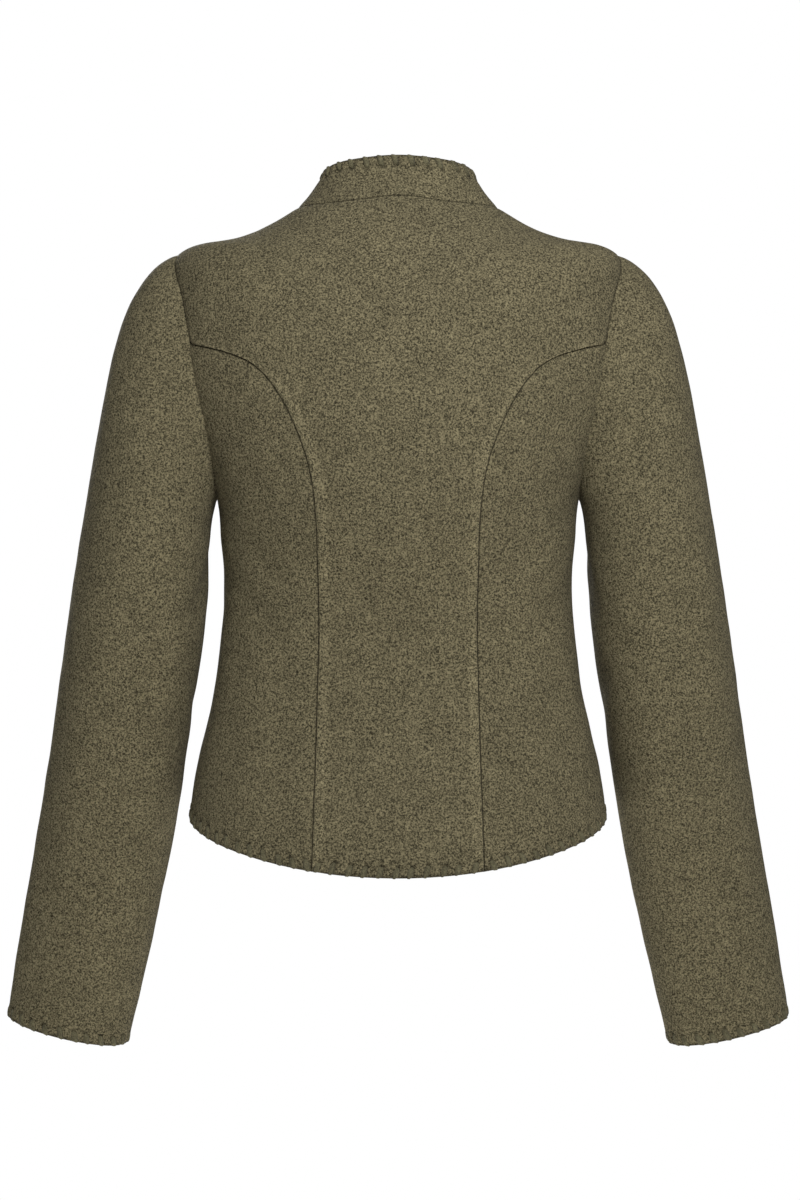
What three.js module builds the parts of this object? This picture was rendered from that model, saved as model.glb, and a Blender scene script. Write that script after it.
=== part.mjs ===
// A woman's Tyrolean jacket in boiled wool, hollow and open, in the shape that it has when it is
// worn. Millimetres, +Z up. The wearer faces -Y, so the middle back is at +Y, and the wearer's
// left is +X. The origin is midway between the two points where the shoulder seams meet the neck.
//
// The whole body is one smooth surface, bodyPoint(turn, drop): turn is the angle round the body
// from the middle back, and drop is the distance down the side from the neck seam. The cut pieces
// are patches of that surface between seams that are curves on it. The sleeves start on the
// armhole and run to the cuff, and the collar stands on the neck seam. Every piece is a wall of
// cloth: its outer face, the same face moved in by WALL, and the cut edges that join the two.

import * as THREE from "three";

const WALL = 2.5;
const GAP = 0.3;
const CLOTH = { color: 0x66624c, roughness: 0.95, metalness: 0 };
const HORN = { color: 0x3f3020, roughness: 0.45, metalness: 0 };

// Rounds of the body, from the neck seam to the hem. wide, back and front are the distances from
// the middle line to the cloth at the side, the middle back and the middle front. zBack, zSide and
// zFront are the heights there. fall is how steeply the round runs down to the front as it passes
// the side, in mm per radian, and square is the power of its superellipse.
const BODY_ROUNDS = [
  {
    at: "neck seam", wide: 83, back: 50, front: 60,
    zBack: 7.5, zSide: 0, zFront: -68, fall: 15, square: 2,
  },
  {
    at: "shoulder", wide: 106, back: 63, front: 70,
    zBack: -12, zSide: -13.5, zFront: -82, fall: 9, square: 2.05,
  },
  {
    at: "shoulder", wide: 142, back: 75, front: 80,
    zBack: -36, zSide: -25.5, zFront: -98, fall: 4, square: 2.1,
  },
  {
    at: "shoulder point", wide: 180, back: 86, front: 91,
    zBack: -62, zSide: -37, zFront: -116, fall: 0, square: 2.15,
  },
  {
    at: "armhole", wide: 186, back: 91, front: 98,
    zBack: -76, zSide: -46, zFront: -128, fall: 0, square: 2.2,
  },
  {
    at: "armhole", wide: 188, back: 96, front: 105,
    zBack: -92, zSide: -61, zFront: -142, fall: 0, square: 2.2,
  },
  {
    at: "armhole", wide: 188, back: 100, front: 112,
    zBack: -110, zSide: -82, zFront: -157, fall: 0, square: 2.2,
  },
  {
    at: "armhole", wide: 187, back: 103, front: 119,
    zBack: -132, zSide: -108, zFront: -174, fall: 0, square: 2.2,
  },
  {
    at: "shoulder blade", wide: 182, back: 105.5, front: 125,
    zBack: -158, zSide: -140, zFront: -192, fall: 0, square: 2.2,
  },
  {
    at: "armhole", wide: 170, back: 106, front: 129,
    zBack: -186, zSide: -175, zFront: -210, fall: 0, square: 2.2,
  },
  {
    at: "bust", wide: 159, back: 104.5, front: 130,
    zBack: -213, zSide: -204, zFront: -225, fall: 0, square: 2.2,
  },
  {
    at: "underarm", wide: 150, back: 102, front: 128,
    zBack: -238, zSide: -228, zFront: -241, fall: 0, square: 2.2,
  },
  {
    at: "side", wide: 146, back: 97, front: 122,
    zBack: -262, zSide: -255, zFront: -262, fall: 0, square: 2.15,
  },
  {
    at: "side", wide: 143.3, back: 88, front: 112,
    zBack: -292, zSide: -287, zFront: -290, fall: 0, square: 2.15,
  },
  {
    at: "waist", wide: 142.7, back: 79, front: 101,
    zBack: -325, zSide: -319, zFront: -320, fall: 0, square: 2.15,
  },
  {
    at: "waist", wide: 145.5, back: 75, front: 95,
    zBack: -360, zSide: -352, zFront: -350, fall: 0, square: 2.15,
  },
  {
    at: "peplum", wide: 149.3, back: 78, front: 97,
    zBack: -396, zSide: -385, zFront: -380, fall: -6, square: 2.15,
  },
  {
    at: "peplum", wide: 156.5, back: 88, front: 101,
    zBack: -438, zSide: -420, zFront: -408, fall: -17, square: 2.15,
  },
  {
    at: "peplum", wide: 165.3, back: 101, front: 105,
    zBack: -486, zSide: -457, zFront: -440, fall: -32, square: 2.15,
  },
  {
    at: "hem", wide: 171, back: 113, front: 108,
    zBack: -539, zSide: -495, zFront: -474.8, fall: -48, square: 2.15,
  },
];
const SHOULDER_POINT = BODY_ROUNDS.findIndex((round) => round.at === "shoulder point");

// The top edge of the stand collar, in the same columns.
const COLLAR_RIM = {
  wide: 62, back: 37, front: 50,
  zBack: 41.5, zSide: 29.5, zFront: -34, fall: 27, square: 2,
};
const COLLAR_HOLLOW = 2.5;  // how far the collar curves in at half its height
const COLLAR_OPEN = 2;      // from the middle front to each end of the collar

// The armhole seam runs round from the shoulder point by the back to the underarm.
const ARMHOLE = { top: -37, bottom: -236, back: 52, front: 66 };

// The curved back seam, from the armhole in and down to the hem: its distance from the middle
// back and its height.
const BACK_SEAM = [
  { x: 167, z: -113 },
  { x: 142, z: -119.5 },
  { x: 118, z: -130 },
  { x: 95, z: -156 },
  { x: 79, z: -189 },
  { x: 69, z: -224 },
  { x: 65, z: -268 },
  { x: 63.9, z: -319 },
  { x: 64.4, z: -380 },
  { x: 65.8, z: -440 },
  { x: 67.4, z: -490 },
  { x: 68.8, z: -536.5 },
];

// Rounds of the sleeve, from the underarm level to the cuff. The x and z columns place its inner
// and outer edges, middle is the y between its front and back, deep is half its size from front to
// back, and lean is how far its back edge drops, in degrees.
const SLEEVE_ROUNDS = [
  { xIn: 153, zIn: -262, xOut: 257, zOut: -246, middle: -5, deep: 61, lean: 1 },
  { xIn: 157, zIn: -325, xOut: 267.5, zOut: -311, middle: -6, deep: 60, lean: 3 },
  { xIn: 170, zIn: -420, xOut: 280.5, zOut: -402, middle: -12, deep: 57, lean: 7 },
  { xIn: 184.7, zIn: -510, xOut: 295, zOut: -490, middle: -27, deep: 50, lean: 10 },
  { xIn: 203.8, zIn: -600, xOut: 311.5, zOut: -580, middle: -42, deep: 44, lean: 10 },
  { xIn: 225, zIn: -687, xOut: 325.5, zOut: -664, middle: -52, deep: 39, lean: 9 },
];
const SLEEVE_SQUARE = 2.15;
// How the sleeve cap leaves the armhole: its slope below the level at the top and at the
// underarm, its flare to the back and front, and its two Bezier handles as parts of the chord.
const CAP = {
  slopeTop: 17, slopeBottom: 72, flare: 0.22,
  startTop: 0.215, startBottom: 0.3, endTop: 0.53, endBottom: 0.4,
};

// The fronts close right over left, with buttons on the middle line.
const LAP = { past: 18, rampFrom: 45, rampTo: 23, sink: WALL + 2 * GAP };
const BUTTON = { radius: 10, thick: 4, rim: 1.6, dish: 1, lift: 1, sides: 20 };
const BUTTONS = { count: 6, first: 16, last: 352 };

// Grid counts. Two pieces that meet at a seam share its count, so that their facets match.
const GRID = {
  shoulderSeam: 4,
  armholeUpperBack: 4,
  armholeLowerBack: 7,
  armholeFront: 9,
  longSeams: 14,
  backAcross: 18,
  frontAcross: 12,
  cap: 6,
  arm: 9,
  collarHigh: 2,
};

const DEGREE = Math.PI / 180;
const HALF_TURN = Math.PI;
const SIDE = Math.PI / 2;

const mix = (a, b, t) => a + (b - a) * t;

function steps(from, to, count) {
  return Array.from({ length: count + 1 }, (_, i) => mix(from, to, i / count));
}

function smoothStep(from, to, value) {
  const t = Math.min(1, Math.max(0, (value - from) / (to - from)));
  return t * t * (3 - 2 * t);
}

/** Distance along a chain of points, starting at 0. */
function chainLengths(points) {
  const lengths = [0];
  for (let i = 1; i < points.length; i += 1) {
    lengths.push(lengths[i - 1] + points[i].distanceTo(points[i - 1]));
  }
  return lengths;
}

/** Natural cubic spline through values at knots: its second derivatives come from the usual
 *  tridiagonal system, swept forwards and then back. */
function spline(knots, values) {
  const last = knots.length - 1;
  const bend = new Array(last + 1).fill(0);
  const sweep = new Array(last + 1).fill(0);
  for (let i = 1; i < last; i += 1) {
    const before = knots[i] - knots[i - 1];
    const after = knots[i + 1] - knots[i];
    const share = before / (before + after);
    const pivot = share * sweep[i - 1] + 2;
    const turnOff = (values[i + 1] - values[i]) / after - (values[i] - values[i - 1]) / before;
    sweep[i] = (share - 1) / pivot;
    bend[i] = ((6 * turnOff) / (before + after) - share * bend[i - 1]) / pivot;
  }
  for (let i = last - 1; i > 0; i -= 1) {
    bend[i] += sweep[i] * bend[i + 1];
  }
  return (at) => {
    let i = 0;
    while (i < last - 1 && at > knots[i + 1]) {
      i += 1;
    }
    const step = knots[i + 1] - knots[i];
    const b = (at - knots[i]) / step;
    const a = 1 - b;
    const curved = ((a ** 3 - a) * bend[i] + (b ** 3 - b) * bend[i + 1]) * (step ** 2 / 6);
    return a * values[i] + b * values[i + 1] + curved;
  };
}

/** One spline for each column of a table. */
function splineTable(rows, knots, columns) {
  const curves = columns.map((column) => spline(knots, rows.map((row) => row[column])));
  return (at) => Object.fromEntries(columns.map((column, i) => [column, curves[i](at)]));
}

// ---- the body surface ----

const ROUND_COLUMNS = ["wide", "back", "front", "zBack", "zSide", "zFront", "fall", "square"];
const BODY_DROPS = chainLengths(BODY_ROUNDS.map((round) => new THREE.Vector3(round.wide, 0, round.zSide)));
const HEM = BODY_DROPS[BODY_DROPS.length - 1];
const bodyRound = splineTable(BODY_ROUNDS, BODY_DROPS, ROUND_COLUMNS);

/** A point of one round: a superellipse seen from above, its height a sum of four cosines that
 *  meets the three heights and the fall. */
function roundPoint(round, turn) {
  const depth = Math.cos(turn) > 0 ? round.back : round.front;
  const power = round.square;
  const across = (Math.abs(Math.sin(turn)) / round.wide) ** power;
  const along = (Math.abs(Math.cos(turn)) / depth) ** power;
  const radius = (across + along) ** (-1 / power);
  const halfDrop = (round.zBack - round.zFront) / 2;
  const mean = (round.zBack + round.zFront) / 2;
  const third = (halfDrop - round.fall) / 4;
  const height = (mean + round.zSide) / 2
    + (halfDrop - third) * Math.cos(turn)
    + ((mean - round.zSide) / 2) * Math.cos(2 * turn)
    + third * Math.cos(3 * turn);
  return new THREE.Vector3(radius * Math.sin(turn), radius * Math.cos(turn), height);
}

const bodyPoint = (turn, drop) => roundPoint(bodyRound(drop), turn);

/** Outward normal of any surface(u, v) by small differences. flip turns it round. */
function surfaceNormal(surface, u, v, stepU, stepV, flip) {
  const alongU = surface(u + stepU, v).sub(surface(u - stepU, v));
  const alongV = surface(u, v + stepV).sub(surface(u, v - stepV));
  return alongU.cross(alongV).normalize().multiplyScalar(flip);
}

const bodyNormal = (turn, drop) => {
  const inside = Math.min(HEM - 0.5, Math.max(0.5, drop));
  return surfaceNormal(bodyPoint, turn, inside, 0.002, 0.5, 1);
};

/** The turn and drop where the body passes through two wanted coordinates, by Newton's method. */
function findOnBody(wanted, start) {
  const miss = (turn, drop) => {
    const point = bodyPoint(turn, drop);
    return Object.keys(wanted).map((axis) => point[axis] - wanted[axis]);
  };
  const place = { ...start };
  for (let pass = 0; pass < 30; pass += 1) {
    const [p, q] = miss(place.turn, place.drop);
    const [pTurn, qTurn] = miss(place.turn + 1e-4, place.drop).map((m, i) => (m - [p, q][i]) / 1e-4);
    const [pDrop, qDrop] = miss(place.turn, place.drop + 1e-2).map((m, i) => (m - [p, q][i]) / 1e-2);
    const area = pTurn * qDrop - pDrop * qTurn;
    place.turn -= Math.max(-0.2, Math.min(0.2, (p * qDrop - q * pDrop) / area));
    place.drop -= Math.max(-25, Math.min(25, (pTurn * q - qTurn * p) / area));
  }
  return place;
}

// ---- seams on the body, as places { turn, drop } ----

/** Armhole seam at a clock angle: 0 at the shoulder point, SIDE at the back, HALF_TURN at the
 *  underarm. */
function armhole(clock) {
  const reach = Math.sin(clock) > 0 ? ARMHOLE.back : ARMHOLE.front;
  const middle = (ARMHOLE.top + ARMHOLE.bottom) / 2;
  const wanted = {
    y: reach * Math.sin(clock),
    z: middle + ((ARMHOLE.top - ARMHOLE.bottom) / 2) * Math.cos(clock),
  };
  const guess = BODY_DROPS[SHOULDER_POINT] + (wanted.z - ARMHOLE.top) * -1.05;
  return findOnBody(wanted, { turn: SIDE - wanted.y / 190, drop: guess });
}

const SHOULDER_END = armhole(0).drop;
const UNDERARM = armhole(HALF_TURN).drop;

/** The clock angle at which the armhole passes a height on the back. */
function armholeClockAt(height) {
  const middle = (ARMHOLE.top + ARMHOLE.bottom) / 2;
  return Math.acos((height - middle) / ((ARMHOLE.top - ARMHOLE.bottom) / 2));
}

const SEAM_CLOCK = armholeClockAt(BACK_SEAM[0].z);

const backSeamPlaces = BACK_SEAM.map((row, i) => {
  if (i === 0) {
    return armhole(SEAM_CLOCK);
  }
  return findOnBody(row, { turn: Math.atan2(row.x, 90), drop: HEM * (0.06 - row.z / 590) });
});
backSeamPlaces[backSeamPlaces.length - 1].drop = HEM;
const backSeamKnots = chainLengths(backSeamPlaces.map((place) => bodyPoint(place.turn, place.drop)));
const backSeamCurve = splineTable(backSeamPlaces, backSeamKnots, ["turn", "drop"]);
const backSeam = (part) => backSeamCurve(part * backSeamKnots[backSeamKnots.length - 1]);

/** Turn that moves a seam place sideways on the cloth, off its line to a neighbouring place, by
 *  half the gap between two pieces. */
function halfGapTurn(place, neighbour) {
  const at = bodyPoint(place.turn, place.drop);
  const round = bodyPoint(place.turn + 1e-3, place.drop).sub(at).divideScalar(1e-3);
  const along = bodyPoint(neighbour.turn, neighbour.drop).sub(at).normalize();
  return GAP / 2 / round.cross(along).length();
}

/** A seam as places, moved off its line towards one side (-1 back, +1 front) by half the gap. */
function offSeam(places, towards) {
  return places.map((place, i) => {
    const neighbours = [places[i - 1], places[i + 1]].filter(Boolean);
    const shift = Math.max(...neighbours.map((neighbour) => halfGapTurn(place, neighbour)));
    return { turn: place.turn + towards * shift, drop: place.drop };
  });
}

const sideSeamPlaces = (from, to, count) => steps(from, to, count).map((drop) => ({ turn: SIDE, drop }));
const armholeClocks = {
  upperBack: steps(0, SEAM_CLOCK, GRID.armholeUpperBack),
  lowerBack: steps(SEAM_CLOCK, HALF_TURN, GRID.armholeLowerBack),
  front: steps(HALF_TURN, 2 * HALF_TURN, GRID.armholeFront),
};
/** Places down the curved back seam, closest together at its top, where it turns most. */
const backSeamRows = (count) => steps(0, 1, count).map((part) => backSeam(part ** 1.5));

/** Drops for the middle line of a piece, in step with the length of its outer edge. */
function middleDrops(edge) {
  const lengths = chainLengths(edge.map((place) => bodyPoint(place.turn, place.drop)));
  return lengths.map((length) => (HEM * length) / lengths[lengths.length - 1]);
}

// ---- walls of cloth ----

/** A closed wall from rows of { outer, normal }: the outer face, the inner face moved in by WALL,
 *  and the cut edges. wrap joins the last column to the first, as on a sleeve. */
function clothWall(rows, wrap = false) {
  const down = rows.length;
  const across = rows[0].length;
  const points = [0, WALL].flatMap((depth) => rows.flatMap((row) => (
    row.map(({ outer, normal }) => outer.clone().addScaledVector(normal, -depth))
  )));
  const id = (face, i, j) => (face * down + i) * across + (j % across);
  const triangles = [];
  const quad = (a, b, c, d) => {
    if (points[a].distanceTo(points[c]) <= points[b].distanceTo(points[d])) {
      triangles.push(a, b, c, a, c, d);
    } else {
      triangles.push(a, b, d, b, c, d);
    }
  };
  const columns = wrap ? across : across - 1;
  for (let i = 0; i < down - 1; i += 1) {
    for (let j = 0; j < columns; j += 1) {
      quad(id(0, i, j), id(0, i + 1, j), id(0, i + 1, j + 1), id(0, i, j + 1));
      quad(id(1, i, j), id(1, i, j + 1), id(1, i + 1, j + 1), id(1, i + 1, j));
    }
    if (!wrap) {
      quad(id(0, i, 0), id(1, i, 0), id(1, i + 1, 0), id(0, i + 1, 0));
      quad(id(0, i + 1, columns), id(1, i + 1, columns), id(1, i, columns), id(0, i, columns));
    }
  }
  for (let j = 0; j < columns; j += 1) {
    quad(id(0, 0, j), id(0, 0, j + 1), id(1, 0, j + 1), id(1, 0, j));
    quad(id(0, down - 1, j + 1), id(0, down - 1, j), id(1, down - 1, j), id(1, down - 1, j + 1));
  }
  return faceOut(points, triangles);
}

/** A geometry whose triangles point out: all are turned round if the enclosed volume comes out
 *  negative. */
function faceOut(points, triangles) {
  let volume = 0;
  for (let i = 0; i < triangles.length; i += 3) {
    const [a, b, c] = triangles.slice(i, i + 3).map((corner) => points[corner]);
    volume += a.dot(b.clone().cross(c));
  }
  if (volume < 0) {
    triangles.reverse();
  }
  const geometry = new THREE.BufferGeometry().setFromPoints(points);
  geometry.setIndex(triangles);
  geometry.computeVertexNormals();
  return geometry;
}

const jacket = new THREE.Group();

function addPiece(name, geometry, finish) {
  const piece = new THREE.Mesh(geometry, new THREE.MeshStandardMaterial(finish));
  piece.name = name;
  jacket.add(piece);
  return piece;
}

/** A body piece from rows of places. hand is 1 for the wearer's left and -1 for the right, and
 *  sink is how far the cloth lies under the body surface at a place. */
function addBodyPiece(name, rows, hand = 1, sink = () => 0) {
  const points = rows.map((row) => row.map((place) => {
    const normal = bodyNormal(place.turn, place.drop);
    const outer = bodyPoint(place.turn, place.drop).addScaledVector(normal, -sink(place));
    outer.x *= hand;
    normal.x *= hand;
    return { outer, normal };
  }));
  addPiece(name, clothWall(points), CLOTH);
}

// ---- the cut pieces ----

/** Back: from the neck and the shoulder seams to the curved back seams and the hem. */
function addBack() {
  const edge = [
    ...offSeam(sideSeamPlaces(0, SHOULDER_END, GRID.shoulderSeam), -1),
    ...armholeClocks.upperBack.slice(1, -1).map(armhole),
    ...offSeam(backSeamRows(GRID.longSeams), -1),
  ];
  const middle = middleDrops(edge);
  const rows = edge.map((place, i) => steps(-1, 1, GRID.backAcross).map((part) => ({
    turn: part * place.turn,
    drop: mix(middle[i], place.drop, part * part),
  })));
  addBodyPiece("back", rows);
}

/** Side back: a Coons patch between the curved back seam, the lower armhole, the side seam and
 *  the hem. */
function addSideBack(name, hand) {
  const down = GRID.longSeams;
  const across = GRID.armholeLowerBack;
  const inner = backSeamRows(down);
  const outer = sideSeamPlaces(UNDERARM, HEM, down);
  const top = armholeClocks.lowerBack.map(armhole);
  const bottom = steps(inner[down].turn, SIDE, across).map((turn) => ({ turn, drop: HEM }));
  const innerGap = [armhole(SEAM_CLOCK + GAP / ARMHOLE.back), ...offSeam(inner, 1).slice(1)];
  const outerGap = offSeam(outer, -1);
  const rows = inner.map((_, i) => top.map((_, j) => {
    if (j === 0) {
      return innerGap[i];
    }
    if (j === across) {
      return outerGap[i];
    }
    const u = j / across;
    const v = i / down;
    const blend = (key) => mix(top[j][key], bottom[j][key], v) + mix(inner[i][key], outer[i][key], u)
      - mix(mix(top[0][key], top[across][key], u), mix(bottom[0][key], bottom[across][key], u), v);
    return { turn: blend("turn"), drop: blend("drop") };
  }));
  addBodyPiece(name, rows, hand);
}

/** How far the under front lies below the body surface: nothing out at the side, and the full
 *  sink where the other front covers it. */
function underLap(place) {
  const fromMiddle = (HALF_TURN - place.turn) * bodyRound(place.drop).front;
  return LAP.sink * smoothStep(LAP.rampFrom, LAP.rampTo, fromMiddle);
}

const lapTurn = (drop) => HALF_TURN + LAP.past / bodyRound(drop).front;

/** Front: from the shoulder seam, the armhole and the side seam to an edge that passes the middle
 *  line by the lap. */
function addFront(name, hand, sink) {
  const edge = [
    ...offSeam(sideSeamPlaces(0, SHOULDER_END, GRID.shoulderSeam), 1),
    ...armholeClocks.front.slice(1, -1).reverse().map(armhole),
    ...offSeam(sideSeamPlaces(UNDERARM, HEM, GRID.longSeams), 1),
  ];
  const middle = middleDrops(edge);
  const rows = edge.map((place, i) => steps(0, 1, GRID.frontAcross).map((part) => ({
    turn: mix(lapTurn(middle[i]), place.turn, part),
    drop: mix(middle[i], place.drop, part * part),
  })));
  addBodyPiece(name, rows, hand, sink);
}

/** Stand collar: from the neck seam up to the rim, a little hollow between them, and open at the
 *  middle front. */
function addCollar() {
  const seam = bodyRound(0);
  const surface = (turn, part) => {
    const inward = new THREE.Vector3(-Math.sin(turn), -Math.cos(turn), 0);
    const straight = roundPoint(seam, turn).lerp(roundPoint(COLLAR_RIM, turn), part);
    return straight.addScaledVector(inward, COLLAR_HOLLOW * 4 * part * (1 - part));
  };
  const end = HALF_TURN - COLLAR_OPEN / COLLAR_RIM.front;
  const frontTurns = steps(SIDE, lapTurn(0), GRID.frontAcross).filter((turn) => turn < end);
  const halfTurns = [...steps(0, SIDE, GRID.backAcross / 2).slice(1, -1), ...frontTurns, end];
  const turns = [...halfTurns.map((turn) => -turn).reverse(), 0, ...halfTurns];
  const height = roundPoint(seam, 0).distanceTo(roundPoint(COLLAR_RIM, 0));
  const rows = steps(1, (2 * GAP) / height, GRID.collarHigh).map((part) => turns.map((turn) => ({
    outer: surface(turn, part),
    normal: surfaceNormal(surface, turn, part, 0.002, 0.01, -1),
  })));
  addPiece("collar", clothWall(rows), CLOTH);
}

// ---- sleeves ----

const SLEEVE_COLUMNS = ["xIn", "zIn", "xOut", "zOut", "middle", "deep", "lean"];
const SLEEVE_DROPS = chainLengths(SLEEVE_ROUNDS.map((round) => new THREE.Vector3(round.xOut, 0, round.zOut)));
const CUFF = SLEEVE_DROPS[SLEEVE_DROPS.length - 1];
const sleeveRound = splineTable(SLEEVE_ROUNDS, SLEEVE_DROPS, SLEEVE_COLUMNS);

/** A point of the arm of the sleeve: a superellipse between the inner and outer edges, its back
 *  edge lowered by the lean. */
function armPoint(clock, drop) {
  const round = sleeveRound(drop);
  const power = 2 / SLEEVE_SQUARE;
  const out = Math.sign(Math.cos(clock)) * Math.abs(Math.cos(clock)) ** power;
  const backward = Math.sign(Math.sin(clock)) * Math.abs(Math.sin(clock)) ** power;
  const part = (out + 1) / 2;
  return new THREE.Vector3(
    mix(round.xIn, round.xOut, part),
    round.middle + round.deep * backward * Math.cos(round.lean * DEGREE),
    mix(round.zIn, round.zOut, part) - round.deep * backward * Math.sin(round.lean * DEGREE),
  );
}

/** The cap: for each clock angle one cubic Bezier from the armhole to the top of the arm, whose
 *  handles follow the slope of the cap and the run of the arm. */
function capPoint(clock, part) {
  const low = (1 - Math.cos(clock)) / 2;
  const seam = armhole(clock);
  const start = bodyPoint(seam.turn, seam.drop);
  const end = armPoint(clock, 0);
  const slope = mix(CAP.slopeTop, CAP.slopeBottom, low) * DEGREE;
  const leave = new THREE.Vector3(Math.cos(slope), CAP.flare * Math.sin(clock), -Math.sin(slope)).normalize();
  const arrive = armPoint(clock, 1).sub(end).normalize();
  const chord = start.distanceTo(end);
  start.addScaledVector(leave, GAP);
  const curve = new THREE.CubicBezierCurve3(
    start,
    start.clone().addScaledVector(leave, chord * mix(CAP.startTop, CAP.startBottom, low)),
    end.clone().addScaledVector(arrive, -chord * mix(CAP.endTop, CAP.endBottom, low)),
    end,
  );
  return curve.getPoint(part);
}

/** Sleeve surface: run goes from 0 at the armhole through 1 at the underarm level to 2 at the
 *  cuff. */
function sleevePoint(clock, run) {
  return run < 1 ? capPoint(clock, run) : armPoint(clock, (run - 1) * CUFF);
}

function addSleeve(name, hand) {
  const runs = [...steps(0, 1, GRID.cap).slice(0, -1), ...steps(1, 2, GRID.arm)];
  const clocks = Object.values(armholeClocks).flatMap((stretch) => stretch.slice(0, -1));
  const rows = runs.map((run) => clocks.map((clock) => {
    const inside = Math.min(1.99, Math.max(0.01, run));
    const normal = surfaceNormal(sleevePoint, clock, inside, 0.01, 0.01, -1);
    const outer = sleevePoint(clock, run);
    outer.x *= hand;
    normal.x *= hand;
    return { outer, normal };
  }));
  addPiece(name, clothWall(rows, true), CLOTH);
}

// ---- buttons ----

/** A turned button: a flat back, a rounded edge and a dished face, on the Y axis of its lathe. */
function buttonGeometry() {
  const { radius, thick, rim, dish, sides } = BUTTON;
  const profile = [
    new THREE.Vector2(0, 0),
    new THREE.Vector2(radius - rim, 0),
    new THREE.Vector2(radius, thick / 2),
    new THREE.Vector2(radius - rim / 2, thick),
    new THREE.Vector2(radius - 2 * rim, thick - dish / 2),
    new THREE.Vector2(0, thick - dish),
  ];
  return new THREE.LatheGeometry(profile, sides);
}

/** Drop of the point that lies a length down the middle front from the neck seam. */
function middleFrontDrop(length) {
  const drops = steps(0, HEM, 200);
  const lengths = chainLengths(drops.map((drop) => bodyPoint(HALF_TURN, drop)));
  return drops[lengths.findIndex((reached) => reached >= length)];
}

function addButtons() {
  steps(BUTTONS.first, BUTTONS.last, BUTTONS.count - 1).map(middleFrontDrop).forEach((drop, i) => {
    const normal = bodyNormal(HALF_TURN, drop);
    const button = addPiece(`button_${i + 1}`, buttonGeometry(), HORN);
    button.quaternion.setFromUnitVectors(new THREE.Vector3(0, 1, 0), normal);
    button.position.copy(bodyPoint(HALF_TURN, drop)).addScaledVector(normal, BUTTON.lift);
  });
}

addBack();
addSideBack("side_back_l", 1);
addSideBack("side_back_r", -1);
addFront("front_l", 1, underLap);
addFront("front_r", -1, () => 0);
addCollar();
addSleeve("sleeve_l", 1);
addSleeve("sleeve_r", -1);
addButtons();

export default jacket;
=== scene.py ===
"""A woman's Tyrolean jacket in loden cloth, hollow and in the shape that it has when it is worn.

Every cloth piece is a closed wall on the same surface as its solid in the frame. The body is one
surface, body(turn, drop): turn is the angle round it from the middle back, and drop is the distance
down its side from the neck seam. The pieces are patches of it between their seams, and the sleeves
and the collar start on it. Lengths are worked out in millimetres and the meshes are in metres.
"""

import math

import bpy
import numpy as np
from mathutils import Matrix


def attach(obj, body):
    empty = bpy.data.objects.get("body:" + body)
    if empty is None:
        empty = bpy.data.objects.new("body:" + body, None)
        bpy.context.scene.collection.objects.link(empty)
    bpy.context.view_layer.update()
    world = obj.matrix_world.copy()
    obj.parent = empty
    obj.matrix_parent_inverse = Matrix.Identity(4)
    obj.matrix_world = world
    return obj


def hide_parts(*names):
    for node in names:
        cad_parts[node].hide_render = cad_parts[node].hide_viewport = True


bl_info = {
    "name": "Tyrolean Loden Jacket",
    "version": (1, 0, 0),
    "blender": (4, 5, 0),
    "location": "View3D > Sidebar > Jacket",
    "description": "Builds a loden jacket with whip-stitched edges on its packed frame",
    "category": "Object",
}

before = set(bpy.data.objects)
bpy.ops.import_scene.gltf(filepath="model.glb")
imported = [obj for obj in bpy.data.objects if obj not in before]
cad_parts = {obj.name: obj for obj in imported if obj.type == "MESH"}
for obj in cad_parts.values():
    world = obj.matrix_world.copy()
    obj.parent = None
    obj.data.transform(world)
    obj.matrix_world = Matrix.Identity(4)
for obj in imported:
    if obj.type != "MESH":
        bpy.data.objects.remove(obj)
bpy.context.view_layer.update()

MM = 0.001
SIDE = math.pi / 2
HALF_TURN = math.pi

# Rounds of the body from the neck seam to the hem, in mm: distance from the middle line to the
# cloth at the side, the middle back and the middle front, then the heights there, the fall of the
# round to the front as it passes the side, and the power of its superellipse.
BODY_ROUNDS = np.array([
    (83, 50, 60, 7.5, 0, -68, 15, 2),
    (106, 63, 70, -12, -13.5, -82, 9, 2.05),
    (142, 75, 80, -36, -25.5, -98, 4, 2.1),
    (180, 86, 91, -62, -37, -116, 0, 2.15),
    (186, 91, 98, -76, -46, -128, 0, 2.2),
    (188, 96, 105, -92, -61, -142, 0, 2.2),
    (188, 100, 112, -110, -82, -157, 0, 2.2),
    (187, 103, 119, -132, -108, -174, 0, 2.2),
    (182, 105.5, 125, -158, -140, -192, 0, 2.2),
    (170, 106, 129, -186, -175, -210, 0, 2.2),
    (159, 104.5, 130, -213, -204, -225, 0, 2.2),
    (150, 102, 128, -238, -228, -241, 0, 2.2),
    (146, 97, 122, -262, -255, -262, 0, 2.15),
    (143.3, 88, 112, -292, -287, -290, 0, 2.15),
    (142.7, 79, 101, -325, -319, -320, 0, 2.15),
    (145.5, 75, 95, -360, -352, -350, 0, 2.15),
    (149.3, 78, 97, -396, -385, -380, -6, 2.15),
    (156.5, 88, 101, -438, -420, -408, -17, 2.15),
    (165.3, 101, 105, -486, -457, -440, -32, 2.15),
    (171, 113, 108, -539, -495, -474.8, -48, 2.15),
], float)
SHOULDER_POINT = 3
COLLAR_RIM = np.array((62, 37, 50, 41.5, 29.5, -34, 27, 2), float)
COLLAR_HOLLOW = 2.5
COLLAR_OPEN = 2.0

ARMHOLE_TOP, ARMHOLE_BOTTOM, ARMHOLE_BACK, ARMHOLE_FRONT = -37.0, -236.0, 52.0, 66.0

# The curved back seam: distance from the middle back and height.
BACK_SEAM = np.array([
    (167, -113), (142, -119.5), (118, -130), (95, -156), (79, -189), (69, -224),
    (65, -268), (63.9, -319), (64.4, -380), (65.8, -440), (67.4, -490), (68.8, -536.5),
], float)

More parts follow.
